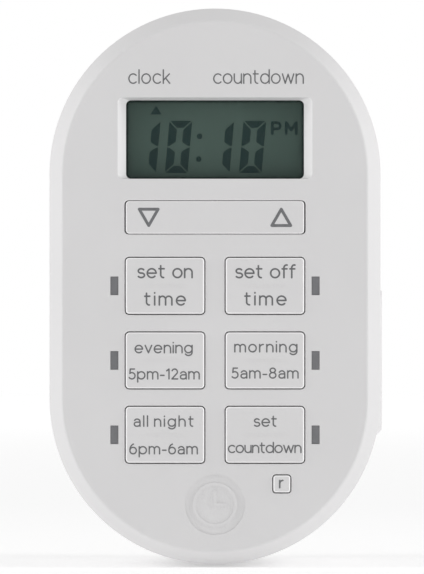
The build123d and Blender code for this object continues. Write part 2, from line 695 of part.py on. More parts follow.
with BuildPart() as carbon_pills:
    with BuildSketch(level(PILL_BOTTOM)):
        with Locations(*LARGE_DOME_SPOTS):
            Circle(PILL_R)
        with Locations((RESET_X, RESET_Z)):
            Circle(SMALL_PILL_R)
    extrude(amount=PILL_THICKNESS)
pieces["carbon_pills"] = carbon_pills

# ---- indicator bars and the lamps behind them ----
for (name, _), (x, z) in zip(KEY_SPOTS.items(), INDICATOR_SPOTS):
    with BuildPart() as indicator:
        with BuildSketch(level(INDICATOR_BOTTOM, x, z)):
            Rectangle(INDICATOR_W, INDICATOR_H)
        extrude(amount=BODY_DEPTH - INDICATOR_BOTTOM)
        with BuildSketch(level(KEY_BOTTOM, x, z)):
            Rectangle(INDICATOR_W + 2 * INDICATOR_FLANGE, INDICATOR_H + 2 * INDICATOR_FLANGE)
        extrude(amount=FLANGE_TOP - KEY_BOTTOM)
    pieces[name.replace("key", "indicator")] = indicator

with BuildPart() as indicator_leds:
    with BuildSketch(level(BOARD_TOP)):
        with Locations(*INDICATOR_SPOTS):
            Rectangle(LED_W, LED_H)
    extrude(amount=LED_THICKNESS / 2)
    with BuildSketch(level(BOARD_TOP + LED_THICKNESS / 2)):
        with Locations(*INDICATOR_SPOTS):
            Rectangle(LED_W, LED_LENS_H)
    extrude(amount=LED_THICKNESS / 2, taper=MOULD_TAPER)
pieces["indicator_leds"] = indicator_leds

# ---- display ----
with BuildPart() as display_window:
    with BuildSketch(level(CEILING - LENS_THICKNESS, z=WINDOW_Z)):
        RectangleRounded(LENS_W, LENS_H, WINDOW_R)
    extrude(amount=LENS_THICKNESS)
pieces["display_window"] = display_window

with BuildPart() as lcd_panel:
    with BuildSketch(level(PANEL_TOP - 2 * GLASS_THICKNESS, z=WINDOW_Z + PANEL_LEDGE / 2)):
        Rectangle(PANEL_W, PANEL_H + PANEL_LEDGE)
    extrude(amount=GLASS_THICKNESS)
    with BuildSketch(level(PANEL_TOP - GLASS_THICKNESS, z=WINDOW_Z)):
        Rectangle(PANEL_W, PANEL_H)
    extrude(amount=GLASS_THICKNESS)
    chamfer(front_edges(lcd_panel.part, PANEL_TOP), length=REFLECTOR_THICKNESS)
pieces["lcd_panel"] = lcd_panel

with BuildPart() as lcd_reflector:
    with BuildSketch(level(PANEL_BOTTOM - REFLECTOR_THICKNESS, z=WINDOW_Z)):
        Rectangle(PANEL_W - 2 * REFLECTOR_THICKNESS, PANEL_H - 2 * REFLECTOR_THICKNESS)
    extrude(amount=REFLECTOR_THICKNESS)
pieces["lcd_reflector"] = lcd_reflector

with BuildPart() as lcd_holder:
    with BuildSketch(level(BOARD_TOP, z=HOLDER_Z)):
        RectangleRounded(HOLDER_W, HOLDER_H, WINDOW_R / 2)
    extrude(amount=HOLDER_TOP - BOARD_TOP)
    with BuildSketch(level(PANEL_BOTTOM - REFLECTOR_THICKNESS, z=WINDOW_Z + PANEL_LEDGE / 2)):
        Rectangle(PANEL_W + HOLDER_GAP, PANEL_H + PANEL_LEDGE + HOLDER_GAP)
    extrude(amount=BODY_DEPTH, mode=Mode.SUBTRACT)
    with BuildSketch(level(BOARD_TOP, z=WINDOW_Z)):
        Rectangle(HOLDER_WINDOW_W, HOLDER_WINDOW_H)
    extrude(amount=HOLDER_TOP, mode=Mode.SUBTRACT)
    with BuildSketch(level(BOARD_TOP, z=ZEBRA_Z)):
        Rectangle(ZEBRA_W + HOLDER_GAP, ZEBRA_H + HOLDER_GAP)
    extrude(amount=HOLDER_TOP, mode=Mode.SUBTRACT)
pieces["lcd_holder"] = lcd_holder

with BuildPart() as zebra_strip:
    with BuildSketch(level(BOARD_TOP, z=ZEBRA_Z)):
        Rectangle(ZEBRA_W, ZEBRA_H)
    extrude(amount=PANEL_BOTTOM - BOARD_TOP)
pieces["zebra_strip"] = zebra_strip

# ---- control board and what is on its back ----
with BuildPart() as control_board:
    with BuildSketch(level(BOARD_BOTTOM)):
        RectangleRounded(BOARD_W, BOARD_H, BOARD_CORNER_R)
        with Locations(*CASE_SCREW_SPOTS):
            Circle(BOARD_NOTCH_R, mode=Mode.SUBTRACT)
        with Locations(*BOARD_POSTS):
            Circle(SMALL_SHANK_R + HOLDER_GAP, mode=Mode.SUBTRACT)
    extrude(amount=BOARD_THICKNESS)
pieces["control_board"] = control_board

with BuildPart() as microcontroller:
    with BuildSketch(level(BOARD_BOTTOM, *CHIP_SPOT)):
        Rectangle(CHIP_SIZE, CHIP_SIZE)
    extrude(amount=-CHIP_THICKNESS, taper=MOULD_TAPER)
    with BuildSketch(level(BOARD_BOTTOM, *CHIP_SPOT)):
        with GridLocations(CHIP_PITCH, CHIP_PITCH, CHIP_LEADS, 1):
            Rectangle(CHIP_LEAD_W, CHIP_SIZE + 2 * CHIP_LEAD_REACH)
        with GridLocations(CHIP_PITCH, CHIP_PITCH, 1, CHIP_LEADS):
            Rectangle(CHIP_SIZE + 2 * CHIP_LEAD_REACH, CHIP_LEAD_W)
    extrude(amount=-CHIP_LEAD_THICKNESS)
pieces["microcontroller"] = microcontroller

with BuildPart() as crystal:
    with BuildSketch(Plane.XY.offset(BODY_Z + CRYSTAL_SPOT[1] - CRYSTAL_LENGTH / 2)):
        with Locations((CRYSTAL_SPOT[0], -(BOARD_BOTTOM - CRYSTAL_R))):
            Circle(CRYSTAL_R)
    extrude(amount=CRYSTAL_LENGTH)
    fillet(crystal.faces().sort_by(Axis.Z)[-1].edges(), radius=CRYSTAL_R / 3)
pieces["crystal"] = crystal

with BuildPart() as backup_cell:
    with BuildSketch(level(BOARD_BOTTOM - CELL_THICKNESS, *CELL_SPOT)):
        Circle(CELL_R)
    extrude(amount=CELL_THICKNESS)
    fillet(front_edges(backup_cell.part, BOARD_BOTTOM - CELL_THICKNESS), radius=CELL_THICKNESS / 6)
pieces["backup_cell"] = backup_cell


# ---- plug ----
def blade(x, width):
    """Flat blade with a bevelled tip, a cross hole, a shoulder behind the rear wall and a solder tail."""
    with BuildPart() as flat:
        with BuildSketch(Plane(origin=(x, 0, 0), x_dir=(0, 1, 0), z_dir=(1, 0, 0))):
            with BuildLine():
                Polyline(
                    (-SHOULDER_START, -width / 2),
                    (BLADE_LENGTH - BLADE_TIP, -width / 2),
                    (BLADE_LENGTH, -width / 2 + BLADE_TIP),
                    (BLADE_LENGTH, width / 2 - BLADE_TIP),
                    (BLADE_LENGTH - BLADE_TIP, width / 2),
                    (-SHOULDER_START, width / 2),
                    close=True,
                )
            make_face()
            with Locations((-(SHOULDER_START + SHOULDER_TOP) / 2, 0)):
                Rectangle(SHOULDER_TOP - SHOULDER_START, SHOULDER_W)
            with Locations((-(SHOULDER_TOP + TAIL_TOP) / 2, 0)):
                Rectangle(TAIL_TOP - SHOULDER_TOP, TAIL_W)
            with Locations((BLADE_HOLE_FROM_FACE, 0)):
                Circle(BLADE_HOLE_R, mode=Mode.SUBTRACT)
        extrude(amount=BLADE_THICKNESS / 2, both=True)
        chamfer(flat.faces().sort_by(Axis.Y)[-1].edges().filter_by(Axis.Z), length=BLADE_EDGE)
    return flat


pieces["line_blade"] = blade(BLADE_X, LINE_BLADE_W)
pieces["neutral_blade"] = blade(-BLADE_X, NEUTRAL_BLADE_W)

with BuildPart() as ground_pin:
    for start, end, radius in (
        (-GROUND_PIN_LENGTH, 0, GROUND_PIN_R),
        (0, SHOULDER_START, GROUND_COLLAR_R),
        (SHOULDER_START, SHOULDER_TOP, GROUND_FLANGE_R),
        (SHOULDER_TOP, TAIL_TOP, GROUND_TAIL_R),
    ):
        with BuildSketch(level(start, 0, GROUND_Z)):
            Circle(radius)
        extrude(amount=end - start)
    fillet(front_edges(ground_pin.part, -GROUND_PIN_LENGTH), radius=GROUND_TIP_R)
pieces["ground_pin"] = ground_pin

with BuildPart() as blade_retainer:
    with BuildSketch(level(SHOULDER_TOP)):
        with Locations((0, RETAINER_Z)):
            RectangleRounded(RETAINER_W, RETAINER_H, WINDOW_R * 2)
        with Locations((BLADE_X, -BODY_Z), (-BLADE_X, -BODY_Z)):
            Rectangle(BLADE_THICKNESS + 2 * RETAINER_GAP, TAIL_W + 2 * RETAINER_GAP, mode=Mode.SUBTRACT)
        with Locations((0, GROUND_Z)):
            Circle(GROUND_TAIL_R + RETAINER_GAP, mode=Mode.SUBTRACT)
        with Locations(*RETAINER_SPOTS):
            Circle(SMALL_SHANK_R + RETAINER_GAP, mode=Mode.SUBTRACT)
    extrude(amount=RETAINER_THICKNESS)
pieces["blade_retainer"] = blade_retainer

# ---- side outlet ----
with BuildPart() as outlet_insert:
    with BuildSketch(side(OUTLET_X - OUTLET_CHAMFER)):
        outlet_outline()
    extrude(amount=OUTLET_CHAMFER, taper=45)
    with BuildSketch(side(OUTLET_SKIRT_X)):
        outlet_outline()
    extrude(amount=OUTLET_X - OUTLET_CHAMFER - OUTLET_SKIRT_X)
    with BuildSketch(side(OUTLET_FLANGE_X[0])):
        outlet_outline(OUTLET_FLANGE_MARGIN)
    extrude(amount=OUTLET_FLANGE_X[1] - OUTLET_FLANGE_X[0])
    with BuildSketch(side(OUTLET_SKIRT_X)):
        outlet_outline(-OUTLET_SKIRT_WALL)
    extrude(amount=OUTLET_X - OUTLET_PLATE - OUTLET_SKIRT_X, mode=Mode.SUBTRACT)
    for across, up, width, height in OUTLET_SLOTS:
        with BuildSketch(side(OUTLET_X - OUTLET_PLATE)):
            with Locations((across, up)):
                Rectangle(width, height)
        extrude(amount=OUTLET_PLATE, mode=Mode.SUBTRACT)
    outer_face = outlet_insert.faces().sort_by(Axis.X)[-1]
    chamfer(outer_face.inner_wires().edges(), length=SLOT_CHAMFER)
    with BuildSketch(side(OUTLET_X - OUTLET_PLATE)):
        with Locations((0, SLOT_RISE - GROUND_DROP)):
            Circle(GROUND_HOLE_R)
    extrude(amount=OUTLET_PLATE, mode=Mode.SUBTRACT)
pieces["outlet_insert"] = outlet_insert

with BuildPart() as contact_carrier:
    with BuildSketch(side(CARRIER_STEP_X)):
        RectangleRounded(CARRIER_W, CARRIER_H, CARRIER_CORNER_R)
    extrude(amount=CARRIER_FRONT_X - CARRIER_STEP_X)
    with BuildSketch(side(CARRIER_BACK_X, height=CARRIER_BOTTOM + CARRIER_REAR_W / 2)):
        Rectangle(CARRIER_REAR_W, CARRIER_H)
    extrude(amount=CARRIER_STEP_X - CARRIER_BACK_X)
    with BuildSketch(side(CAVITY_BACK_X)):
        with Locations((SLOT_SPACING / 2, SLOT_RISE), (-SLOT_SPACING / 2, SLOT_RISE)):
            Rectangle(CONTACT_CAVITY_W, CONTACT_CAVITY_H)
        with Locations((0, SLOT_RISE - GROUND_DROP)):
            Circle(GROUND_CAVITY_R)
    extrude(amount=CARRIER_FRONT_X, mode=Mode.SUBTRACT)
    # slots in the top for the tabs of the two flat contacts, and a hole in the back for the ground tab
    for across in (-SLOT_SPACING / 2, SLOT_SPACING / 2):
        with BuildSketch(Plane.XY.offset(OUTLET_Z + SLOT_RISE)):
            with Locations((CONTACT_TAB_X, across - PARTING)):
                Rectangle(CONTACT_TAB_W + RETAINER_GAP, CONTACT_THICKNESS + RETAINER_GAP)
        extrude(amount=CARRIER_H, mode=Mode.SUBTRACT)
    with BuildSketch(side(CARRIER_BACK_X - CONTACT_THICKNESS)):
        with Locations((0, SLOT_RISE - GROUND_DROP)):
            Circle(GROUND_TAIL_R + RETAINER_GAP)
    extrude(amount=CAVITY_BACK_X, mode=Mode.SUBTRACT)
pieces["contact_carrier"] = contact_carrier


def folded_contact(across):
    """Spring strip folded in two, whose leaves pinch the blade, with a solder tab on top."""
    with BuildPart() as contact:
        with BuildSketch(Plane.XY.offset(OUTLET_Z + SLOT_RISE - CONTACT_WIDTH / 2)):
            for s in (-1, 1):
                with BuildLine():
                    leaf = FilletPolyline(
                        (CONTACT_BACK_X, across - PARTING),
                        (CONTACT_BACK_X, across - PARTING + s * CONTACT_SPREAD),
                        (CONTACT_PINCH_X, across - PARTING + s * (CONTACT_GRIP + CONTACT_THICKNESS / 2)),
                        (CONTACT_FRONT_X, across - PARTING + s * CONTACT_SPREAD),
                        radius=CONTACT_THICKNESS,
                    )
                trace(leaf, line_width=CONTACT_THICKNESS)
        extrude(amount=CONTACT_WIDTH)
        foot = CONTACT_TAB_X + CONTACT_TAB_W / 2 - CONTACT_BACK_X
        with BuildSketch(Plane.XY.offset(OUTLET_Z + SLOT_RISE)):
            with Locations((CONTACT_BACK_X + foot / 2, across - PARTING)):
                Rectangle(foot, CONTACT_THICKNESS)
        extrude(amount=CONTACT_WIDTH / 4)
        with BuildSketch(Plane.XY.offset(OUTLET_Z + SLOT_RISE)):
            with Locations((CONTACT_TAB_X, across - PARTING)):
                Rectangle(CONTACT_TAB_W, CONTACT_THICKNESS)
        extrude(amount=CARRIER_H / 2 - SLOT_RISE + CONTACT_TAB_RISE)
    return contact


pieces["line_contact"] = folded_contact(SLOT_SPACING / 2)
pieces["neutral_contact"] = folded_contact(-SLOT_SPACING / 2)

with BuildPart() as ground_contact:
    with BuildSketch(side(CONTACT_BACK_X)):
        with Locations((0, SLOT_RISE - GROUND_DROP)):
            Circle(GROUND_SLEEVE_R + GROUND_SLEEVE_WALL)
            Circle(GROUND_SLEEVE_R, mode=Mode.SUBTRACT)
        with Locations((GROUND_SLEEVE_R, SLOT_RISE - GROUND_DROP)):
            Rectangle(GROUND_SLEEVE_R, GROUND_SLEEVE_SPLIT, mode=Mode.SUBTRACT)
    extrude(amount=CONTACT_FRONT_X - CONTACT_BACK_X)
    with BuildSketch(side(CONTACT_BACK_X)):
        with Locations((0, SLOT_RISE - GROUND_DROP)):
            Circle(GROUND_SLEEVE_R + GROUND_SLEEVE_WALL)
    extrude(amount=CONTACT_THICKNESS)
    with BuildSketch(side(CARRIER_BACK_X - CONTACT_THICKNESS)):
        with Locations((0, SLOT_RISE - GROUND_DROP)):
            Circle(GROUND_TAIL_R)
    extrude(amount=CONTACT_BACK_X - CARRIER_BACK_X + CONTACT_THICKNESS)
pieces["ground_contact"] = ground_contact

# ---- power board and what stands on it ----
with BuildPart() as power_board:
    with BuildSketch(level(POWER_BOARD_BOTTOM)):
        with Locations((0, sum(POWER_BOARD_Z) / 2)):
            RectangleRounded(BOARD_W, POWER_BOARD_Z[1] - POWER_BOARD_Z[0], BOARD_CORNER_R)
        with Locations(*CASE_SCREW_SPOTS):
            Circle(BOARD_NOTCH_R, mode=Mode.SUBTRACT)
        with Locations(*POWER_SCREWS):
            Circle(SMALL_SHANK_R + RETAINER_GAP, mode=Mode.SUBTRACT)
    extrude(amount=BOARD_THICKNESS)
pieces["power_board"] = power_board


def boxed(spot, size, edge):
    """Moulded block that stands on the power board."""
    with BuildPart() as block:
        with BuildSketch(level(POWER_BOARD_TOP, *spot)):
            Rectangle(size[0], size[1])
        extrude(amount=size[2])
        chamfer(front_edges(block.part, POWER_BOARD_TOP + size[2]), length=edge)
    return block


pieces["relay"] = boxed(RELAY_SPOT, RELAY_SIZE, edge=RELAY_EDGE)
pieces["film_capacitor"] = boxed(FILM_SPOT, FILM_SIZE, edge=FILM_EDGE)

with BuildPart() as smoothing_capacitors:
    for x, z, radius, height in CAN_SPOTS:
        with BuildSketch(level(POWER_BOARD_TOP, x, z)):
            Circle(radius)
        extrude(amount=height)
        with BuildSketch(level(POWER_BOARD_TOP + CAN_GROOVE_HEIGHT, x, z)):
            Circle(radius)
            Circle(radius - CAN_GROOVE_DEPTH, mode=Mode.SUBTRACT)
        extrude(amount=CAN_GROOVE_W, mode=Mode.SUBTRACT)
        fillet(front_edges(smoothing_capacitors.part, POWER_BOARD_TOP + height), radius=CAN_EDGE_R)
pieces["smoothing_capacitors"] = smoothing_capacitors


def leaded(spots, radius, length, span, turned):
    """Small round components above the board on two bent wires, along X if turned, else along Z."""
    axle = POWER_BOARD_TOP + radius + LEAD_R
    along = (1, 0, 0) if turned else (0, 0, 1)
    with BuildPart() as components:
        for x, z in spots:
            middle = Plane(origin=(x, -axle, BODY_Z + z), x_dir=(0, 1, 0), z_dir=along)
            with BuildSketch(middle):
                Circle(radius)
            extrude(amount=length / 2, both=True)
            with BuildSketch(middle):
                Circle(LEAD_RUN_R)
            extrude(amount=span / 2, both=True)
            with BuildSketch(level(POWER_BOARD_TOP, x, z)):
                with Locations(*[(s * span / 2, 0) if turned else (0, s * span / 2) for s in (-1, 1)]):
                    Rectangle(2 * LEAD_R, 2 * LEAD_R)
            extrude(amount=axle + LEAD_R - POWER_BOARD_TOP)
    return components


DIODE_SPOTS = [(x, DIODE_Z) for x in DIODE_XS]
pieces["rectifier_diodes"] = leaded(DIODE_SPOTS, DIODE_R, DIODE_LENGTH, DIODE_SPAN, turned=False)
pieces["fusible_resistor"] = leaded([RESISTOR_SPOT], RESISTOR_R, RESISTOR_LENGTH, RESISTOR_SPAN, turned=True)

with BuildPart() as varistor:
    with BuildSketch(side(VARISTOR_X[0], POWER_BOARD_TOP + VARISTOR_R + 2 * LEAD_R, BODY_Z + VARISTOR_Z)):
        Circle(VARISTOR_R)
    extrude(amount=VARISTOR_X[1] - VARISTOR_X[0])
    fillet(varistor.edges().filter_by(GeomType.CIRCLE), radius=VARISTOR_EDGE_R)
    with BuildSketch(level(POWER_BOARD_TOP, sum(VARISTOR_X) / 2, VARISTOR_Z)):
        with Locations((0, -VARISTOR_R / 2), (0, VARISTOR_R / 2)):
            Circle(LEAD_R)
    extrude(amount=VARISTOR_R)
pieces["varistor"] = varistor

with BuildPart() as relay_driver:
    with BuildSketch(level(POWER_BOARD_TOP + DRIVER_LEG, *DRIVER_SPOT)):
        Circle(DRIVER_R)
        with Locations((0, DRIVER_R)):
            Rectangle(DRIVER_R * 2, DRIVER_R, mode=Mode.SUBTRACT)
    extrude(amount=DRIVER_HEIGHT)
    with BuildSketch(level(POWER_BOARD_TOP, *DRIVER_SPOT)):
        with GridLocations(DRIVER_R / 2, DRIVER_R, 3, 1):
            Circle(LEAD_R)
    extrude(amount=DRIVER_LEG)
pieces["relay_driver"] = relay_driver

# ---- ribbon cable between the boards ----
with BuildPart() as board_headers:
    for bottom in (POWER_BOARD_TOP, BOARD_BOTTOM - HEADER_HEIGHT):
        with BuildSketch(level(bottom, *HEADER_SPOT)):
            Rectangle(*HEADER_SIZE)
        extrude(amount=HEADER_HEIGHT)
pieces["board_headers"] = board_headers

with BuildPart() as ribbon_cable:
    header_place = (HEADER_SPOT[0], 0, BODY_Z + HEADER_SPOT[1])
    with BuildSketch(Plane(origin=header_place, x_dir=(0, -1, 0), z_dir=(1, 0, 0))):
        with BuildLine():
            bend = FilletPolyline(
                (POWER_BOARD_TOP + HEADER_HEIGHT, 0),
                (RIBBON_BEND_HEIGHTS[0], 0),
                (RIBBON_BEND_HEIGHTS[1], -RIBBON_BULGE),
                (RIBBON_BEND_HEIGHTS[2], 0),
                (BOARD_BOTTOM - HEADER_HEIGHT, 0),
                radius=RIBBON_BULGE,
            )
        trace(bend, line_width=RIBBON_THICKNESS)
    extrude(amount=RIBBON_W / 2, both=True)
pieces["ribbon_cable"] = ribbon_cable


# ---- wires ----
def wire(*points):
    """Insulated wire along runs joined by bends. Points are (x, height, z) from the middle of the case."""
    places = [Vector(x, -height, BODY_Z + z) for x, height, z in points]
    with BuildPart() as insulated:
        with BuildLine():
            route = FilletPolyline(*places, radius=WIRE_BEND_R)
        with BuildSketch(Plane(origin=places[0], z_dir=places[1] - places[0])):
            Circle(WIRE_R)
        sweep(path=route)
    return insulated


LINE_TAB = (CONTACT_TAB_X, PARTING - SLOT_SPACING / 2)
NEUTRAL_TAB = (CONTACT_TAB_X, PARTING + SLOT_SPACING / 2)
TAB_TOP = OUTLET_Z - BODY_Z + CARRIER_H / 2 + CONTACT_TAB_RISE
GROUND_TAB_Z = OUTLET_Z - BODY_Z + SLOT_RISE - GROUND_DROP
GROUND_TAB_X = CARRIER_BACK_X - CONTACT_THICKNESS

pieces["line_wire"] = wire(
    (BLADE_X, TAIL_TOP, -BODY_Z),
    (BLADE_X, LINE_WIRE_HEIGHT, -BODY_Z),
    (LINE_WIRE_END[0], LINE_WIRE_HEIGHT, LINE_WIRE_END[1]),
    (LINE_WIRE_END[0], POWER_BOARD_TOP, LINE_WIRE_END[1]),
)
pieces["board_neutral_wire"] = wire(
    (-BLADE_X, BOARD_NEUTRAL_HEIGHT, -BODY_Z - TAIL_W / 2),
    (-BLADE_X, BOARD_NEUTRAL_HEIGHT, BOARD_NEUTRAL_ZS[0]),
    (BOARD_NEUTRAL_X, TAIL_TOP + 4 * WIRE_R, BOARD_NEUTRAL_ZS[1]),
    (BOARD_NEUTRAL_X, TAIL_TOP + 3 * WIRE_R, BOARD_NEUTRAL_ZS[2]),
    (BOARD_NEUTRAL_X, POWER_BOARD_TOP, BOARD_NEUTRAL_ZS[2]),
)
pieces["neutral_wire"] = wire(
    (-BLADE_X, TAIL_TOP, -BODY_Z),
    (-BLADE_X, NEUTRAL_WIRE_HEIGHT, -BODY_Z),
    (*NEUTRAL_TAB, NEUTRAL_WIRE_BEND_Z),
    (*NEUTRAL_TAB, TAB_TOP),
)
pieces["switched_line_wire"] = wire(
    (*LINE_TAB, TAB_TOP),
    (*LINE_TAB, TAB_TOP + SWITCHED_WIRE_RISES[0]),
    (SWITCHED_WIRE_END[0], LINE_TAB[1] + WIRE_R, TAB_TOP + SWITCHED_WIRE_RISES[1]),
    (SWITCHED_WIRE_END[0], LINE_TAB[1] + WIRE_R, SWITCHED_WIRE_END[1]),
    (SWITCHED_WIRE_END[0], POWER_BOARD_TOP, SWITCHED_WIRE_END[1]),
)
pieces["ground_wire"] = wire(
    (0.0, TAIL_TOP, GROUND_Z),
    (0.0, GROUND_WIRE_HEIGHT, GROUND_Z),
    (GROUND_WIRE_BENDS[0][0], GROUND_WIRE_HEIGHT, GROUND_WIRE_BENDS[0][1]),
    (*GROUND_WIRE_BENDS[1], GROUND_TAB_Z),
    (GROUND_TAB_X, PARTING, GROUND_TAB_Z),
)

# ---- blank rating label ----
with BuildPart() as rating_label:
    with BuildSketch(level(LABEL_RECESS - LABEL_THICKNESS)):
        with Locations((0, LABEL_Z)):
            RectangleRounded(LABEL_W, LABEL_H, WINDOW_R)
    extrude(amount=LABEL_THICKNESS)
pieces["rating_label"] = rating_label

for name, piece in pieces.items():
    piece.part.label = name
    export_step(piece.part, f"parts/{name}.step")
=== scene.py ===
import bmesh
import bpy
import json
from math import atan2, cos, pi, radians, sin
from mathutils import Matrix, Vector
from mathutils.geometry import delaunay_2d_cdt


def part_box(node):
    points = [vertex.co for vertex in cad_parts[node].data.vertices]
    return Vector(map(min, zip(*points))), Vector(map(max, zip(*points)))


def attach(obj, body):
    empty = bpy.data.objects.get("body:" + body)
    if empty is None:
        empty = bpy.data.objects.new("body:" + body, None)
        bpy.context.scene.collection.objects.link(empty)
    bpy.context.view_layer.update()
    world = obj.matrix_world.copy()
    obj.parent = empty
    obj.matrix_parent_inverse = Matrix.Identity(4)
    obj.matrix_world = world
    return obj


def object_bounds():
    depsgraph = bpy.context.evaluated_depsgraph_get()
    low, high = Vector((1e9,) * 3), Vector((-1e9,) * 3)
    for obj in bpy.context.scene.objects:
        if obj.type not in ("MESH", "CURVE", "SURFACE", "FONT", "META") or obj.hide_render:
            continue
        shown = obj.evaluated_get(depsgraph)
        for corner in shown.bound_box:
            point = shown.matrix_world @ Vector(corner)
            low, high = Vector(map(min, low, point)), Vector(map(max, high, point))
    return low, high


# The timer stands with its face towards -Y, its plug towards +Y and +Z up. The frame is in metres. Sizes and
# places of what is printed, and of the camera's view, are in millimetres until MM multiplies them.
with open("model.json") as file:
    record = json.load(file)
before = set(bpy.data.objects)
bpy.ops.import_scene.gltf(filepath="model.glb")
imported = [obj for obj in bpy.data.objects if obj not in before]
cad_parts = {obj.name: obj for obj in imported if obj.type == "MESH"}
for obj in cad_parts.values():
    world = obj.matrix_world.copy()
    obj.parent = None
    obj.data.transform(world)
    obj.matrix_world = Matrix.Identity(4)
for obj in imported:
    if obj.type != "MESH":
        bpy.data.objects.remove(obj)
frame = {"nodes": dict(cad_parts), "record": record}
nodes = frame["nodes"]
cad_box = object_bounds()
MM = 0.001
BODY = "case"

# ---- places taken from the frame ----
cover_low, cover_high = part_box("front_cover")
CENTRE_X = (cover_low.x + cover_high.x) / 2
CENTRE_Z = (cover_low.z + cover_high.z) / 2
END_RADIUS = (cover_high.x - cover_low.x) / 2
END_CENTRE = (cover_high.z - cover_low.z) / 2 - END_RADIUS  # of the round ends, above and below the middle
lens_low, lens_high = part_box("display_window")
panel_low, panel_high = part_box("lcd_panel")


def face_y(node, x, z):
    """Where a line from straight in front meets a CAD node, at a place in millimetres."""
    bpy.context.view_layer.update()
    in_front = Vector((x * MM, -1.0, z * MM))
    hit, place, _, _ = nodes[node].ray_cast(in_front, Vector((0.0, 1.0, 0.0)))
    if not hit:
        raise ValueError(f"nothing of {node} lies at {x:.1f}, {z:.1f}")
    return place.y


# ---------------------------------------------------------------- materials
# How far a surface faces forward, as the Y of its normal, where it starts and stops counting as an edge that
# gets the painted highlight.
FRONT_TURN = (-0.97, -0.80)
SIDE_TURN = (-0.50, -0.25)


class Nodes:
    """Short ways to build a node material whose patterns stay fixed to the piece."""

    def __init__(self, name):
        self.material = bpy.data.materials.new(name)
        self.material.use_nodes = True
        self.tree = self.material.node_tree
        self.tree.nodes.clear()
        self.output = self.tree.nodes.new("ShaderNodeOutputMaterial")
        self.shader = self.tree.nodes.new("ShaderNodeBsdfPrincipled")
        self.tree.links.new(self.shader.outputs["BSDF"], self.output.inputs["Surface"])
        coordinates = self.tree.nodes.new("ShaderNodeTexCoord")
        self.place = coordinates.outputs["Object"]
        self.facing = coordinates.outputs["Normal"]

    def set(self, **values):
        for key, value in values.items():
            self.shader.inputs[key.replace("_", " ")].default_value = value

    def noise(self, scale, detail=2.0, stretch=None, roughness=0.5):
        node = self.tree.nodes.new("ShaderNodeTexNoise")
        node.inputs["Scale"].default_value = scale
        node.inputs["Detail"].default_value = detail
        node.inputs["Roughness"].default_value = roughness
        source = self.place
        if stretch:
            mapping = self.tree.nodes.new("ShaderNodeMapping")
            mapping.inputs["Scale"].default_value = stretch
            self.tree.links.new(self.place, mapping.inputs["Vector"])
            source = mapping.outputs["Vector"]
        self.tree.links.new(source, node.inputs["Vector"])
        return node.outputs["Fac"]

    def spread(self, source, low, high, start=0.3, end=0.7):
        """A pattern's values spread from low to high."""
        node = self.tree.nodes.new("ShaderNodeMapRange")
        for key, value in (("From Min", start), ("From Max", end), ("To Min", low), ("To Max", high)):
            node.inputs[key].default_value = value
        self.tree.links.new(source, node.inputs["Value"])
        return node.outputs["Result"]

    def blend(self, factor, first, second):
        """Two colours mixed by a pattern."""
        node = self.tree.nodes.new("ShaderNodeMix")
        node.data_type = "RGBA"
        self.tree.links.new(factor, node.inputs["Factor"])
        for socket, value in ((node.inputs["A"], first), (node.inputs["B"], second)):
            if isinstance(value, bpy.types.NodeSocket):
                self.tree.links.new(value, socket)
            else:
                socket.default_value = (*value, 1.0)
        return node.outputs["Result"]

    def math(self, operation, first, second=0.0):
        """One sum of two sockets or numbers. Operations of one value leave the second out."""
        node = self.tree.nodes.new("ShaderNodeMath")
        node.operation = operation
        for socket, value in zip(node.inputs, (first, second)):
            if isinstance(value, bpy.types.NodeSocket):
                self.tree.links.new(value, socket)
            else:
                socket.default_value = value
        return node.outputs["Value"]

    def split(self, source):
        node = self.tree.nodes.new("ShaderNodeSeparateXYZ")
        self.tree.links.new(source, node.inputs["Vector"])
        return node.outputs

    def rounded_edges(self):
        """1 on edges and slopes between the front faces and their sides, 0 on both: where moulded paints its
        edge highlight.
        """
        turn = self.split(self.facing)["Y"]
        off_front = self.spread(turn, 0.0, 1.0, *FRONT_TURN)
        off_side = self.spread(turn, 1.0, 0.0, *SIDE_TURN)
        return self.math("MULTIPLY", off_front, off_side)

    def inside_face(self, margin):
        """1 within the case's own round-ended outline less this margin in metres, and 0 outside it."""
        x, _, z = self.split(self.place).values()
        across = self.math("SUBTRACT", x, CENTRE_X)
        height = self.math("ABSOLUTE", self.math("SUBTRACT", z, CENTRE_Z))
        past_centre = self.math("MAXIMUM", self.math("SUBTRACT", height, END_CENTRE), 0.0)
        squares = [self.math("MULTIPLY", side, side) for side in (across, past_centre)]
        reach = self.math("SQRT", self.math("ADD", *squares))
        return self.math("LESS_THAN", reach, END_RADIUS - margin)

    def mottled(self, source, color, change):
        """A colour this share darker and lighter by a pattern."""
        return self.blend(self.spread(source, 0.0, 1.0), shade(color, 1 - change), shade(color, 1 + change))

    def link(self, source, socket):
        self.tree.links.new(source, self.shader.inputs[socket])

    def bump(self, *layers):
        """Layers of (height pattern, strength, depth in mm), one over another."""
        below = None
        for height, strength, depth in layers:
            node = self.tree.nodes.new("ShaderNodeBump")
            node.inputs["Strength"].default_value = strength
            node.inputs["Distance"].default_value = depth * MM
            self.tree.links.new(height, node.inputs["Height"])
            if below:
                self.tree.links.new(below, node.inputs["Normal"])
            below = node.outputs["Normal"]
        self.link(below, "Normal")


def shade(color, factor):
    """A colour made lighter or darker, up to white."""
    return tuple(min(1.0, c * factor) for c in color)


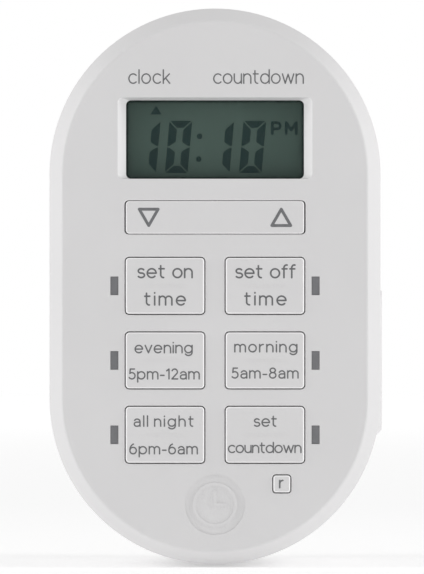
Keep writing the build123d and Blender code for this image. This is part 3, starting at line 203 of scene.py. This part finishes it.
def moulded(name, color, rough=0.4, grain=3200.0, depth=0.006, mottle=0.03, specular=0.5, coat=0.0,
            flow_depth=0.05, edge_highlight=0.0, margin=0.0):
    """Moulded plastic: a fine spark-eroded grain, slow flow variation in colour and gloss.

    The share given before margin paints the rounded front edges that much lighter, a painted highlight where
    their turn catches the side lamps; margin keeps that this far inside the outline of the case.
    """
    n = Nodes(name)
    flow = n.noise(45.0, detail=3.0)
    body = n.mottled(flow, color, mottle)
    # painted highlight: the rounded front edges made lighter in colour where they catch the side lamps
    if edge_highlight:
        highlight_mask = n.rounded_edges()
        if margin:
            highlight_mask = n.math("MULTIPLY", highlight_mask, n.inside_face(margin))
        body = n.blend(highlight_mask, body, shade(color, 1 + edge_highlight))
    n.link(body, "Base Color")
    n.link(n.spread(n.noise(180.0, detail=4.0), rough - 0.05, rough + 0.05), "Roughness")
    n.bump((flow, 0.15, flow_depth), (n.noise(grain), 0.35, depth))
    n.set(Specular_IOR_Level=specular, Coat_Weight=coat)
    return n.material


def rolled_metal(name, color, rough=0.28, along=(1.0, 1.0, 40.0), wear=0.08, scratch=0.35):
    """Metal with fine drawn lines, dulled in patches."""
    n = Nodes(name)
    patches = n.noise(260.0, detail=5.0)
    lines = n.noise(90.0, detail=4.0, stretch=along)
    worn = n.blend(n.spread(patches, 0.0, 1.0), shade(color, 1 - wear), shade(color, 1 + wear / 2))
    n.link(worn, "Base Color")
    n.link(n.spread(lines, rough - 0.08, rough + 0.12), "Roughness")
    n.bump((lines, scratch, 0.004), (patches, 0.08, 0.02))
    n.set(Metallic=1.0)
    return n.material


def laminate(name, mask, copper):
    """Glass-fibre circuit board: solder mask over tracks and a faint weave."""
    n = Nodes(name)
    tracks = n.tree.nodes.new("ShaderNodeTexBrick")
    tracks.inputs["Scale"].default_value = 260.0
    tracks.inputs["Mortar Size"].default_value = 0.03
    mapping = n.tree.nodes.new("ShaderNodeMapping")
    mapping.inputs["Rotation"].default_value = (radians(90), 0.0, 0.0)
    n.tree.links.new(n.place, mapping.inputs["Vector"])
    n.tree.links.new(mapping.outputs["Vector"], tracks.inputs["Vector"])
    n.link(n.blend(tracks.outputs["Fac"], mask, copper), "Base Color")
    n.link(n.spread(n.noise(400.0), 0.25, 0.38), "Roughness")
    n.bump((tracks.outputs["Fac"], 0.3, 0.02), (n.noise(1600.0), 0.2, 0.01))
    return n.material


def clear_acrylic(name):
    """Thin clear window: mostly see-through, with a polished face and a trace of haze."""
    n = Nodes(name)
    n.link(n.spread(n.noise(70.0, detail=3.0), 0.03, 0.09), "Roughness")
    n.link(n.spread(n.noise(500.0, detail=4.0), 0.05, 0.08), "Alpha")
    n.bump((n.noise(60.0), 0.05, 0.02),)
    n.set(Base_Color=(0.05, 0.07, 0.06, 1.0), Specular_IOR_Level=0.9)
    return n.material


def lcd_cell(name, centre, half_width, half_height):
    """Grey-green liquid-crystal cell behind a satin polariser, with painted shade that darkens it towards
    its edges.
    """
    n = Nodes(name)
    mapping = n.tree.nodes.new("ShaderNodeMapping")
    mapping.vector_type = "TEXTURE"
    mapping.inputs["Location"].default_value = centre
    mapping.inputs["Scale"].default_value = (half_width, 1.0, half_height)
    away = n.tree.nodes.new("ShaderNodeVectorMath")
    away.operation = "LENGTH"
    n.tree.links.new(n.place, mapping.inputs["Vector"])
    n.tree.links.new(mapping.outputs["Vector"], away.inputs[0])
    # painted shade: a darker colour spread from the middle of the cell out to its edges
    edge_shade = n.spread(away.outputs["Value"], 0.0, 1.0, 0.45, 1.25)
    even = n.blend(edge_shade, LCD_MIDDLE, LCD_EDGE_SHADE)
    cloud = n.spread(n.noise(60.0), 0.0, 0.12)
    n.link(n.blend(cloud, even, LCD_EDGE_SHADE), "Base Color")
    n.link(n.spread(n.noise(900.0, detail=3.0), 0.42, 0.55), "Roughness")
    n.bump((n.noise(2600.0), 0.15, 0.004),)
    n.set(Specular_IOR_Level=0.15)
    return n.material


def ink(name, color, rough=0.55, specular=0.5):
    """Pad-printed ink: slightly uneven in density and gloss, with a ragged film."""
    n = Nodes(name)
    density = n.noise(2400.0, detail=3.0)
    n.link(n.mottled(density, color, 0.12), "Base Color")
    n.link(n.spread(n.noise(700.0), rough - 0.08, rough + 0.08), "Roughness")
    n.bump((density, 0.25, 0.004),)
    n.set(Specular_IOR_Level=specular)
    return n.material


def smoked_pipe(name, color):
    """Smoked translucent light pipe, a little mottled in tone."""
    n = Nodes(name)
    n.link(n.mottled(n.noise(700.0, detail=3.0), color, 0.07), "Base Color")
    n.link(n.spread(n.noise(350.0), 0.28, 0.40), "Roughness")
    n.bump((n.noise(1800.0), 0.12, 0.004),)
    n.set(Specular_IOR_Level=0.4)
    return n.material


def rubbery(name, color, rough=0.6, sheen=0.15):
    """Silicone or vinyl: soft, slightly dusty, with a faint orange-peel skin."""
    n = Nodes(name)
    skin = n.noise(900.0, detail=3.0)
    n.link(n.mottled(n.noise(120.0, detail=4.0), color, 0.08), "Base Color")
    n.link(n.spread(skin, rough - 0.07, rough + 0.07), "Roughness")
    n.bump((skin, 0.25, 0.01),)
    n.set(Sheen_Weight=sheen)
    return n.material


def layered_rubber(name):
    """Elastomeric connector: fine dark and pale layers along its length."""
    n = Nodes(name)
    wave = n.tree.nodes.new("ShaderNodeTexWave")
    wave.inputs["Scale"].default_value = 1500.0
    n.tree.links.new(n.place, wave.inputs["Vector"])
    n.link(n.blend(wave.outputs["Fac"], (0.05, 0.05, 0.06), (0.62, 0.50, 0.52)), "Base Color")
    n.link(n.spread(n.noise(600.0), 0.5, 0.65), "Roughness")
    return n.material


WHITE = (0.735, 0.728, 0.732)
INK_GREY = (0.135, 0.137, 0.142)
# the cell's middle colour, then the darker colour of the shade painted towards its edges
LCD_MIDDLE = (0.080, 0.125, 0.107)
LCD_EDGE_SHADE = (0.052, 0.086, 0.074)
panel_middle = (panel_low + panel_high) / 2
panel_half = (panel_high - panel_low) / 2
SLOTS = {
    # the case and the keys carry a painted highlight on their rounded front edges
    "white_case": moulded("white_case", WHITE, rough=0.46, mottle=0.012, edge_highlight=0.18, margin=0.0045),
    "key_plastic": moulded("key_plastic", WHITE, rough=0.42, mottle=0.010, depth=0.004, edge_highlight=0.32),
    "white_outlet": moulded("white_outlet", shade(WHITE, 1.03), rough=0.3, depth=0.001, mottle=0.006,
                            flow_depth=0.015),
    "carrier_plastic": moulded("carrier_plastic", (0.66, 0.64, 0.57), rough=0.5),
    "contact_brass": rolled_metal("contact_brass", (0.78, 0.58, 0.26), along=(40.0, 1.0, 1.0)),
    "plug_brass": rolled_metal("plug_brass", (0.72, 0.66, 0.53), rough=0.24, along=(30.0, 1.0, 30.0)),
    "screw_steel": rolled_metal("screw_steel", (0.60, 0.61, 0.63), rough=0.33),
    "label_silver": moulded("label_silver", (0.56, 0.57, 0.58), rough=0.34, grain=5200.0, mottle=0.02,
                            specular=0.6),
    "clear_lens": clear_acrylic("clear_lens"),
    "lcd_glass": lcd_cell("lcd_glass", panel_middle, panel_half.x, panel_half.z),
    "reflector_film": rolled_metal("reflector_film", (0.55, 0.57, 0.56), rough=0.5),
    "zebra_rubber": layered_rubber("zebra_rubber"),
    "silicone": rubbery("silicone", (0.62, 0.64, 0.66)),
    "carbon_rubber": rubbery("carbon_rubber", (0.03, 0.03, 0.03), rough=0.75),
    "led_body": moulded("led_body", (0.80, 0.74, 0.52), rough=0.2, depth=0.001, coat=0.3),
    "board_laminate": laminate("board_laminate", (0.02, 0.13, 0.05), (0.07, 0.24, 0.09)),
    "chip_epoxy": moulded("chip_epoxy", (0.028, 0.028, 0.031), rough=0.5, grain=5200.0),
    "can_steel": rolled_metal("can_steel", (0.66, 0.66, 0.66), rough=0.22),
    "relay_plastic": moulded("relay_plastic", (0.03, 0.10, 0.30), rough=0.3),
    "film_cap_plastic": moulded("film_cap_plastic", (0.62, 0.45, 0.04), rough=0.32),
    "can_sleeve": moulded("can_sleeve", (0.02, 0.025, 0.07), rough=0.25, depth=0.001),
    "resistor_coat": moulded("resistor_coat", (0.20, 0.33, 0.27), rough=0.6),
    "varistor_coat": moulded("varistor_coat", (0.05, 0.11, 0.38), rough=0.28, grain=1500.0),
    "header_plastic": moulded("header_plastic", (0.76, 0.74, 0.68), rough=0.48),
    "ribbon_vinyl": rubbery("ribbon_vinyl", (0.40, 0.41, 0.42), sheen=0.05),
    "black_wire": rubbery("black_wire", (0.02, 0.02, 0.02), sheen=0.05),
    "white_wire": rubbery("white_wire", (0.72, 0.72, 0.70), sheen=0.05),
    "green_wire": rubbery("green_wire", (0.02, 0.22, 0.06), sheen=0.05),
    "indicator_plastic": smoked_pipe("indicator_plastic", (0.180, 0.181, 0.190)),
}
slot_of = {row["node"]: row["material_slot"] for row in frame["record"]["subparts"]}
for node_name, node in nodes.items():
    node.data.materials.clear()
    node.data.materials.append(SLOTS[slot_of[node_name]])
print_ink = ink("print_ink", INK_GREY)
arrow_ink = ink("arrow_ink", (0.165, 0.168, 0.175))
lcd_ink = ink("lcd_ink", (0.012, 0.034, 0.033), rough=0.5, specular=0.12)
# dark ink of the frame that paints shade along the display's border
window_shade_ink = ink("window_shade_ink", (0.018, 0.034, 0.031), rough=0.5, specular=0.12)


# ---------------------------------------------------------------- thin printed pieces
def sideways(direction):
    """The direction a quarter turn to the left."""
    return Vector((-direction.y, direction.x))


SAME_POINT = 0.001  # points nearer than this share of a line's width count as one
CAP_STEPS = 8
SHARPEST_MITRE = 0.5


def capsule(points, width):
    """Outline of a line of this width through the points, with round ends."""
    points = [Vector(p) for p in points]
    points = points[:1] + [b for a, b in zip(points, points[1:]) if (b - a).length > width * SAME_POINT]
    half = width / 2
    left, right = [], []
    for i, p in enumerate(points):
        before = (p - points[i - 1]).normalized() if i else None
        after = (points[i + 1] - p).normalized() if i < len(points) - 1 else None
        direction = ((before or after) + (after or before)).normalized()
        across = sideways(direction)
        mitre = half / max(SHARPEST_MITRE, across.dot(sideways(after or before)))
        left.append(p + across * mitre)
        right.append(p - across * mitre)

    def cap(centre, start):
        turns = [start - pi * k / CAP_STEPS for k in range(1, CAP_STEPS)]
        return [centre + half * Vector((cos(turn), sin(turn))) for turn in turns]

    first = (points[1] - points[0]).normalized()
    last = (points[-1] - points[-2]).normalized()
    end_cap = cap(points[-1], atan2(last.x, -last.y))
    start_cap = cap(points[0], atan2(-first.x, first.y))
    return left + end_cap + right[::-1] + start_cap


def in_metres(points):
    """Points in mm turned into metres."""
    return [(x * MM, z * MM) for x, z in points]


def from_centre(points):
    """Points in mm from the middle of the case, in metres."""
    return in_metres([(CENTRE_X / MM + x, CENTRE_Z / MM + z) for x, z in points])


INSIDE_ONLY = 1
MERGE_DISTANCE = 1e-5


def printed(name, outlines, y, thickness, material, body):
    """One flat closed piece, the union of the outlines (x, z in metres), whose back lies in the plane y."""
    points, faces = [], []
    for outline in outlines:
        turn = sum(a[0] * b[1] - b[0] * a[1] for a, b in zip(outline, outline[1:] + outline[:1]))
        faces.append(list(range(len(points), len(points) + len(outline))))
        points.extend(Vector(p) for p in (outline if turn > 0 else outline[::-1]))
    # the triangulation works best near unit size, and wants counter-clockwise outlines
    made = delaunay_2d_cdt([p / MM for p in points], [], faces, INSIDE_ONLY, MERGE_DISTANCE, True)
    vertices, triangles, sources = made[0], made[2], made[5]
    mesh = bmesh.new()
    corners = [mesh.verts.new((v.x * MM, y, v.y * MM)) for v in vertices]
    for triangle, source in zip(triangles, sources):
        if source:
            mesh.faces.new([corners[i] for i in triangle])
    bmesh.ops.delete(mesh, geom=[v for v in mesh.verts if not v.link_faces], context="VERTS")
    raised = bmesh.ops.extrude_face_region(mesh, geom=list(mesh.faces))
    lifted = [g for g in raised["geom"] if isinstance(g, bmesh.types.BMVert)]
    bmesh.ops.translate(mesh, verts=lifted, vec=(0.0, -thickness, 0.0))
    bmesh.ops.recalc_face_normals(mesh, faces=mesh.faces)
    data = bpy.data.meshes.new(name)
    mesh.to_mesh(data)
    mesh.free()
    piece = bpy.data.objects.new(name, data)
    bpy.context.scene.collection.objects.link(piece)
    piece.data.materials.append(material)
    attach(piece, body)


# ---------------------------------------------------------------- a round-ended alphabet
ARC_STEP = 12  # degrees


def arc(x, y, rx, ry, start, end):
    """Points along part of an ellipse, between two angles in degrees."""
    steps = max(4, int(abs(end - start) / ARC_STEP))
    angles = [radians(start + (end - start) * k / steps) for k in range(steps + 1)]
    return [(x + rx * cos(a), y + ry * sin(a)) for a in angles]


def ring(x, y, rx, ry):
    """A closed loop as two half loops that overlap."""
    return [arc(x, y, rx, ry, -20, 200), arc(x, y, rx, ry, 160, 380)]


ASCENDER = 1.44
DIGIT = 1.38
ARCH = [(0, 0.58)] + arc(0.42, 0.58, 0.42, 0.42, 180, 0) + [(0.84, 0)]
# Each letter is (its width, its strokes), in units of the height of a small letter.
LETTERS = {
    "a": (0.82, [arc(0.42, 0.62, 0.40, 0.38, 152, 0) + [(0.82, 0)],
                 [(0.82, 0.57), (0.34, 0.57)] + arc(0.34, 0.285, 0.32, 0.285, 90, 270)
                 + arc(0.44, 0.33, 0.38, 0.33, 270, 350)]),
    "c": (0.86, [arc(0.5, 0.5, 0.5, 0.5, 45, 315)]),
    "d": (1.0, ring(0.5, 0.5, 0.5, 0.5) + [[(1, 0), (1, ASCENDER)]]),
    "e": (1.0, [[(0.02, 0.5), (0.98, 0.5)], arc(0.5, 0.5, 0.5, 0.5, 0, 316)]),
    "f": (0.58, [[(0.2, 0), (0.2, 1.1)] + arc(0.5, 1.12, 0.3, 0.32, 176, 78), [(0, 1), (0.54, 1)]]),
    "g": (1.0, ring(0.5, 0.5, 0.5, 0.5) + [[(1, 1), (1, 0.1)] + arc(0.5, 0.08, 0.5, 0.45, 0, -146)]),
    "h": (0.84, [[(0, 0), (0, ASCENDER)], ARCH]),
    "i": (0.0, [[(0, 0), (0, 1)], [(0, 1.36), (0, 1.40)]]),
    "k": (0.76, [[(0, 0), (0, ASCENDER)], [(0.72, 1), (0, 0.32)], [(0.26, 0.56), (0.76, 0)]]),
    "l": (0.0, [[(0, 0), (0, ASCENDER)]]),
    "m": (1.44, [[(0, 0), (0, 1)], [(0, 0.62)] + arc(0.36, 0.64, 0.36, 0.36, 180, 0) + [(0.72, 0)],
                 [(0.72, 0.62)] + arc(1.08, 0.64, 0.36, 0.36, 180, 0) + [(1.44, 0)]]),
    "n": (0.84, [[(0, 0), (0, 1)], ARCH]),
    "o": (1.0, ring(0.5, 0.5, 0.5, 0.5)),
    "p": (1.0, ring(0.5, 0.5, 0.5, 0.5) + [[(0, 1), (0, -0.42)]]),
    "r": (0.5, [[(0, 0), (0, 1)], arc(0.48, 0.52, 0.48, 0.48, 180, 88)]),
    "s": (0.74, [arc(0.37, 0.75, 0.33, 0.25, 32, 250) + arc(0.37, 0.26, 0.37, 0.26, 70, -148)]),
    "t": (0.6, [[(0.2, 1.34), (0.2, 0.32)] + arc(0.5, 0.32, 0.3, 0.32, 184, 275), [(0, 1), (0.58, 1)]]),
    "u": (0.84, [[(0, 1), (0, 0.42)] + arc(0.42, 0.42, 0.42, 0.42, 180, 360), [(0.84, 1), (0.84, 0)]]),
    "v": (0.88, [[(0, 1), (0.44, 0)], [(0.44, 0), (0.88, 1)]]),
    "w": (1.34, [[(0, 1), (0.335, 0)], [(0.335, 0), (0.67, 0.96)], [(0.67, 0.96), (1.005, 0)],
                 [(1.005, 0), (1.34, 1)]]),
    "1": (0.32, [[(0, 1.14), (0.32, DIGIT)], [(0.32, DIGIT), (0.32, 0)]]),
    "2": (0.84, [arc(0.42, 0.98, 0.38, 0.40, 155, -28) + [(0.04, 0)], [(0.04, 0), (0.84, 0)]]),
    "5": (0.84, [[(0.76, DIGIT), (0.18, DIGIT)], [(0.18, DIGIT), (0.12, 0.76)],
                 arc(0.40, 0.44, 0.44, 0.44, 130, -146)]),
    "6": (0.9, ring(0.45, 0.45, 0.45, 0.45) + [arc(0.66, 0.5, 0.66, 0.88, 182, 104)]),
    "8": (0.88, ring(0.44, 0.38, 0.44, 0.38) + ring(0.44, 1.07, 0.36, 0.31)),
    "-": (0.5, [[(0, 0.5), (0.5, 0.5)]]),
}
SPACE = 1.0  # between words


def legend(text, centre, baseline, x_height, weight, width, narrow=1.0):
    """Outlines of a line of text, in metres, spaced so that it is exactly this wide. Sizes are in mm."""
    unit = x_height - weight
    widths = [0.0 if c == " " else LETTERS[c][0] * unit * narrow for c in text]
    spaces = text.count(" ")
    gaps = len(text) - 1 - 2 * spaces
    gap = (width - weight - sum(widths) - spaces * SPACE * unit) / gaps
    x = centre - width / 2 + weight / 2
    outlines = []
    for i, c in enumerate(text):
        if c == " ":
            x += SPACE * unit - gap
            continue
        for stroke in LETTERS[c][1]:
            line = [(x + px * unit * narrow, baseline + weight / 2 + py * unit) for px, py in stroke]
            outlines.append(in_metres(capsule(line, weight)))
        x += widths[i] + gap
    return outlines


INK_THICKNESS = 0.03 * MM
INK_SINK = 0.008 * MM  # the back of the ink film lies this far inside the surface
KEY_WEIGHT_SHARE = 0.158  # stroke width as a share of the small letters' height
CLEAR_OF_RIB = (6.5, 2.0)  # from a key's middle to where its face is flat
# legend lines: node, then (text, across, baseline, small-letter height, width) from the key's middle, in mm
KEY_LEGENDS = {
    "key_on_time": [("set on", 0.0, 1.47, 2.06, 11.0), ("time", 0.0, -3.93, 2.04, 8.3)],
    "key_off_time": [("set off", 0.1, 1.45, 2.06, 12.0), ("time", 0.08, -3.90, 2.04, 8.4)],
    "key_evening": [("evening", -0.27, 1.38, 1.72, 11.5), ("5pm-12am", -0.18, -3.78, 1.68, 14.1)],
    "key_morning": [("morning", 0.17, 1.56, 1.72, 12.5), ("5am-8am", 0.0, -3.60, 1.68, 13.3)],
    "key_all_night": [("all night", -0.27, 1.57, 1.68, 11.9), ("6pm-6am", -0.28, -3.87, 1.68, 13.55)],
    "key_countdown": [("set", 0.05, 1.57, 1.72, 4.6), ("countdown", -0.05, -3.62, 1.66, 14.55)],
}
for key, lines in KEY_LEGENDS.items():
    low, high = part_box(key)
    middle = (low + high) / 2 / MM
    outlines = []
    for text, across, baseline, x_height, width in lines:
        outlines += legend(text, middle.x + across, middle.z + baseline, x_height,
                           KEY_WEIGHT_SHARE * x_height, width)
    key_y = face_y(key, middle.x + CLEAR_OF_RIB[0], middle.z + CLEAR_OF_RIB[1])
    printed(f"{key}_legend", outlines, key_y + INK_SINK, INK_THICKNESS, print_ink, key)

low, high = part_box("key_reset")
middle = (low + high) / 2 / MM
RESET_RISE = 1.42
RESET_SPREAD = 1.25
RESET_WEIGHT = 0.30
RESET_FOOT = (-0.42, -0.72)  # from the key's middle to the foot of its letter
reset_letter = []
for stroke in LETTERS["r"][1]:
    line = [(middle.x + RESET_FOOT[0] + px * RESET_SPREAD, middle.z + RESET_FOOT[1] + pz * RESET_RISE)
            for px, pz in stroke]
    reset_letter.append(in_metres(capsule(line, RESET_WEIGHT)))
reset_y = face_y("key_reset", middle.x, middle.z)
printed("key_reset_legend", reset_letter, reset_y + INK_SINK, INK_THICKNESS, print_ink,
        "key_reset")

# headings over the display: text, middle and width
HEADINGS = [("clock", -12.95, 8.3), ("countdown", 8.58, 17.9)]
HEADING_BASELINE = 39.95
HEADING_X_HEIGHT = 2.10
HEADING_WEIGHT = 0.25
HEADING_NARROW = 0.9
for text, across, width in HEADINGS:
    heading_x, heading_z = CENTRE_X / MM + across, CENTRE_Z / MM + HEADING_BASELINE
    outlines = legend(text, heading_x, heading_z, HEADING_X_HEIGHT, HEADING_WEIGHT, width, HEADING_NARROW)
    heading_y = face_y("front_cover", heading_x, heading_z)
    printed(f"{text}_heading", outlines, heading_y + INK_SINK, INK_THICKNESS, print_ink, BODY)

# ---- triangles on the up and down key ----
TRIANGLE_HALF = 1.86
TRIANGLE_RISE = 3.22
TRIANGLE_LINE = 0.58
TRIANGLE_X = 13.07
low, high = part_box("key_up_down")
bar_z = (low.z + high.z) / 2 / MM


def triangle(x, z, up):
    """Round-cornered outline triangle about a point in mm, as three overlapping strokes."""
    s = 1 if up else -1
    tip = (x, z + s * TRIANGLE_RISE / 2)
    foot_a = (x - TRIANGLE_HALF, z - s * TRIANGLE_RISE / 2)
    foot_b = (x + TRIANGLE_HALF, z - s * TRIANGLE_RISE / 2)
    sides = [(tip, foot_a), (foot_a, foot_b), (foot_b, tip)]
    return [in_metres(capsule(side, TRIANGLE_LINE)) for side in sides]


for label, across, up in (("down", -TRIANGLE_X, False), ("up", TRIANGLE_X, True)):
    place_x = CENTRE_X / MM + across
    arrow_y = face_y("key_up_down", place_x, bar_z)
    printed(f"{label}_arrow", triangle(place_x, bar_z, up), arrow_y + INK_SINK, INK_THICKNESS, arrow_ink,
            "key_up_down")

# ---------------------------------------------------------------- the display's figures
FIGURE_TOP = 32.80
FIGURE_HEIGHT = 10.33
FIGURE_WIDTH = 4.50
FIGURE_LEAN = 0.09
SEGMENT = 1.62
SEGMENT_GAP = 0.17
FIGURE_RIGHTS = (-10.76, -4.50, 3.80, 10.15)
FIGURES = ("1", "0", "1", "0")
LIT = {
    "0": ("top", "bottom", "left_up", "left_down", "right_up", "right_down"),
    "1": ("right_up", "right_down"),
}
SEGMENT_BEVEL = 0.86  # how much of a segment's thickness its slanted ends take
SEGMENT_WAIST = 0.62  # and how far an upright's inner corner stays below the figure's middle
SEGMENT_TIP = 0.25


def segment_outline(which):
    """Corners of one segment of an upright figure, from its bottom left corner, in mm."""
    w, h, t, g = FIGURE_WIDTH, FIGURE_HEIGHT, SEGMENT, SEGMENT_GAP
    bevel = t * SEGMENT_BEVEL
    level = [(g, 0), (w - g, 0), (w - bevel - g, bevel), (bevel + g, bevel)]
    waist = h / 2 - t * SEGMENT_WAIST
    upright = [(0, g), (t, t + g), (t, waist), (t * SEGMENT_TIP, h / 2 - g), (0, h / 2 - g)]
    shapes = {
        "bottom": level,
        "top": [(x, h - y) for x, y in level],
        "left_down": upright,
        "left_up": [(x, h - y) for x, y in upright],
        "right_down": [(w - x, y) for x, y in upright],
        "right_up": [(w - x, h - y) for x, y in upright],
    }
    return shapes[which]


def leaning(points, right):
    """An upright figure's points put in place, leaning to the right."""
    return from_centre([
        (right - FIGURE_WIDTH + x - FIGURE_LEAN * (FIGURE_HEIGHT - y), FIGURE_TOP - FIGURE_HEIGHT + y)
        for x, y in points
    ])


def disc(x, z, radius, sides=28):
    """Outline of a round dot, in mm from the middle of the case."""
    turns = [2 * pi * k / sides for k in range(sides)]
    return from_centre([(x + radius * cos(turn), z + radius * sin(turn)) for turn in turns])


lcd_outlines = []
for figure, right in zip(FIGURES, FIGURE_RIGHTS):
    lcd_outlines += [leaning(segment_outline(which), right) for which in LIT[figure]]
COLON = [(-3.05, 29.72), (-3.22, 25.22)]
COLON_R = 0.56
lcd_outlines += [disc(x, z, COLON_R) for x, z in COLON]
MARKER = [(-12.75, 34.05), (-10.55, 34.05), (-11.65, 35.88)]
lcd_outlines.append(from_centre(MARKER))
PM_BASE, PM_TOP, PM_LINE = 30.28, 32.42, 0.58
P_X, P_BOWL, P_BOWL_R, P_WAIST = 11.35, 1.0, 0.55, 31.2
M_X, M_WIDTH, M_VALLEY = 14.1, 1.98, 31.0
p_bowl = arc(P_X + P_BOWL, (PM_TOP + P_WAIST) / 2, P_BOWL_R, (PM_TOP - P_WAIST) / 2, 90, -90)
pm_strokes = [
    [(P_X, PM_BASE), (P_X, PM_TOP)],
    [(P_X, PM_TOP), (P_X + P_BOWL, PM_TOP)] + p_bowl + [(P_X, P_WAIST)],
    [(M_X, PM_BASE), (M_X, PM_TOP)],
    [(M_X, PM_TOP), (M_X + M_WIDTH / 2, M_VALLEY)],
    [(M_X + M_WIDTH / 2, M_VALLEY), (M_X + M_WIDTH, PM_TOP)],
    [(M_X + M_WIDTH, PM_TOP), (M_X + M_WIDTH, PM_BASE)],
]
lcd_outlines += [from_centre(capsule(stroke, PM_LINE)) for stroke in pm_strokes]
FILM = 0.012 * MM
printed("lcd_figures", lcd_outlines, panel_low.y + FILM / 2, FILM, lcd_ink, BODY)

# ---- painted shade: a dark frame on the back of the window, standing in for the shade the window's recess casts on the display's border ----
SHADE_FRAME_W, SHADE_FRAME_H, SHADE_FRAME_LINE, SHADE_FRAME_R = 36.6, 17.0, 1.15, 1.0


def rounded_frame(width, height, line, radius, z):
    """Strokes of a frame with rounded inner corners, about the middle of the display, in mm."""
    w, h = width / 2 - line / 2, height / 2 - line / 2
    runs = []
    for sx, sz, start in ((1, 1, 0), (-1, 1, 90), (-1, -1, 180), (1, -1, 270)):
        runs.append(arc(sx * (w - radius), z + sz * (h - radius), radius, radius, start, start + 90))
    runs += [[(-w + radius, z + s * h), (w - radius, z + s * h)] for s in (-1, 1)]
    runs += [[(s * w, z - h + radius), (s * w, z + h - radius)] for s in (-1, 1)]
    return [from_centre(capsule(run, line)) for run in runs]


window_z = ((lens_low.z + lens_high.z) / 2 - CENTRE_Z) / MM
# the outlines of the painted shade frame
mask = rounded_frame(SHADE_FRAME_W, SHADE_FRAME_H, SHADE_FRAME_LINE, SHADE_FRAME_R, window_z)
printed("window_shade_frame", mask, lens_high.y + 2 * FILM, FILM, window_shade_ink, BODY)

# ---------------------------------------------------------------- floor, light and camera
FLOOR_SIZE = 3.0
FLOOR_DROP = 0.0005
# The paper glows more from FLOOR_NEAR out to FLOOR_FAR, where the lamps light it less.
FLOOR_NEAR = 0.25
FLOOR_FAR = 1.0
FLOOR_GLOW = (0.246, 0.43)
# A tall soft box stands at each side, a little in front of the face, and lights the sloped edges most.
BOX_WIDTH, BOX_HEIGHT = 0.16, 0.8
BOX_ASIDE, BOX_FORWARD, BOX_UP = 0.75, -0.141, 0.2
TENT_LIGHT = 0.611


def plain_floor():
    """Pale paper under the case."""
    mesh = bpy.data.meshes.new("floor")
    half = FLOOR_SIZE / 2
    z = cad_box[0][2] - FLOOR_DROP
    corners = [(-half, -half, z), (half, -half, z), (half, half, z), (-half, half, z)]
    mesh.from_pydata(corners, [], [(0, 1, 2, 3)])
    floor = bpy.data.objects.new("floor", mesh)
    bpy.context.scene.collection.objects.link(floor)
    n = Nodes("floor_paper")
    n.link(n.blend(n.noise(8.0), (0.90, 0.90, 0.90), (0.92, 0.92, 0.92)), "Base Color")
    away = n.tree.nodes.new("ShaderNodeVectorMath")
    away.operation = "LENGTH"
    n.tree.links.new(n.place, away.inputs[0])
    n.link(n.spread(away.outputs["Value"], *FLOOR_GLOW, FLOOR_NEAR, FLOOR_FAR), "Emission Strength")
    n.set(Roughness=0.9, Emission_Color=(1.0, 1.0, 1.0, 1.0), Specular_IOR_Level=0.2)
    floor.data.materials.append(n.material)


def soft_box(name, place, target, power):
    """A tall soft lamp that faces the target, with its power in watts."""
    data = bpy.data.lights.new(name, "AREA")
    data.shape = "RECTANGLE"
    data.size, data.size_y = BOX_WIDTH, BOX_HEIGHT
    data.energy = power
    lamp = bpy.data.objects.new(name, data)
    lamp.location = place
    lamp.rotation_euler = (Vector(target) - Vector(place)).to_track_quat("-Z", "Y").to_euler()
    bpy.context.scene.collection.objects.link(lamp)


def white_tent():
    """Even white surroundings that light the object less than they show."""
    world = bpy.data.worlds.new("tent")
    bpy.context.scene.world = world
    world.use_nodes = True
    tree = world.node_tree
    tree.nodes.clear()
    output = tree.nodes.new("ShaderNodeOutputWorld")
    mix = tree.nodes.new("ShaderNodeMixShader")
    lit, seen = (tree.nodes.new("ShaderNodeBackground") for _ in range(2))
    for background, strength in ((lit, TENT_LIGHT), (seen, 1.0)):
        background.inputs["Strength"].default_value = strength
        background.inputs["Color"].default_value = (1.0, 1.0, 1.0, 1.0)
    path = tree.nodes.new("ShaderNodeLightPath")
    tree.links.new(path.outputs["Is Camera Ray"], mix.inputs["Fac"])
    tree.links.new(lit.outputs["Background"], mix.inputs[1])
    tree.links.new(seen.outputs["Background"], mix.inputs[2])
    tree.links.new(mix.outputs["Shader"], output.inputs["Surface"])


plain_floor()
white_tent()
middle = Vector((CENTRE_X, 0.0, CENTRE_Z))
for name, side, power in (("left_box", -1, 2.30), ("right_box", 1, 2.62)):
    soft_box(name, middle + Vector((side * BOX_ASIDE, BOX_FORWARD, BOX_UP)), middle, power)

# The camera looks straight at the face, from far enough that both sides show the same edge.
FOCAL = 300.0
SENSOR = 36.0
VIEW_HEIGHT = 113.56  # what the frame shows from top to bottom at the case's widest section
AIM = (-0.59, -0.10)  # from the middle of the case
SLOPE_DEPTH = 3.0  # from the face back to the widest section
edge_y = cover_low.y + SLOPE_DEPTH * MM
camera_data = bpy.data.cameras.new("camera")
camera_data.lens = FOCAL
camera_data.sensor_width = SENSOR
camera_data.sensor_fit = "AUTO"
camera_data.clip_start = 0.01
camera = bpy.data.objects.new("camera", camera_data)
distance = VIEW_HEIGHT * MM * FOCAL / SENSOR
camera.location = (CENTRE_X + AIM[0] * MM, edge_y - distance, CENTRE_Z + AIM[1] * MM)
camera.rotation_euler = (radians(90), 0.0, 0.0)
bpy.context.scene.collection.objects.link(camera)
bpy.context.scene.camera = camera
bpy.context.scene.view_settings.view_transform = "Standard"
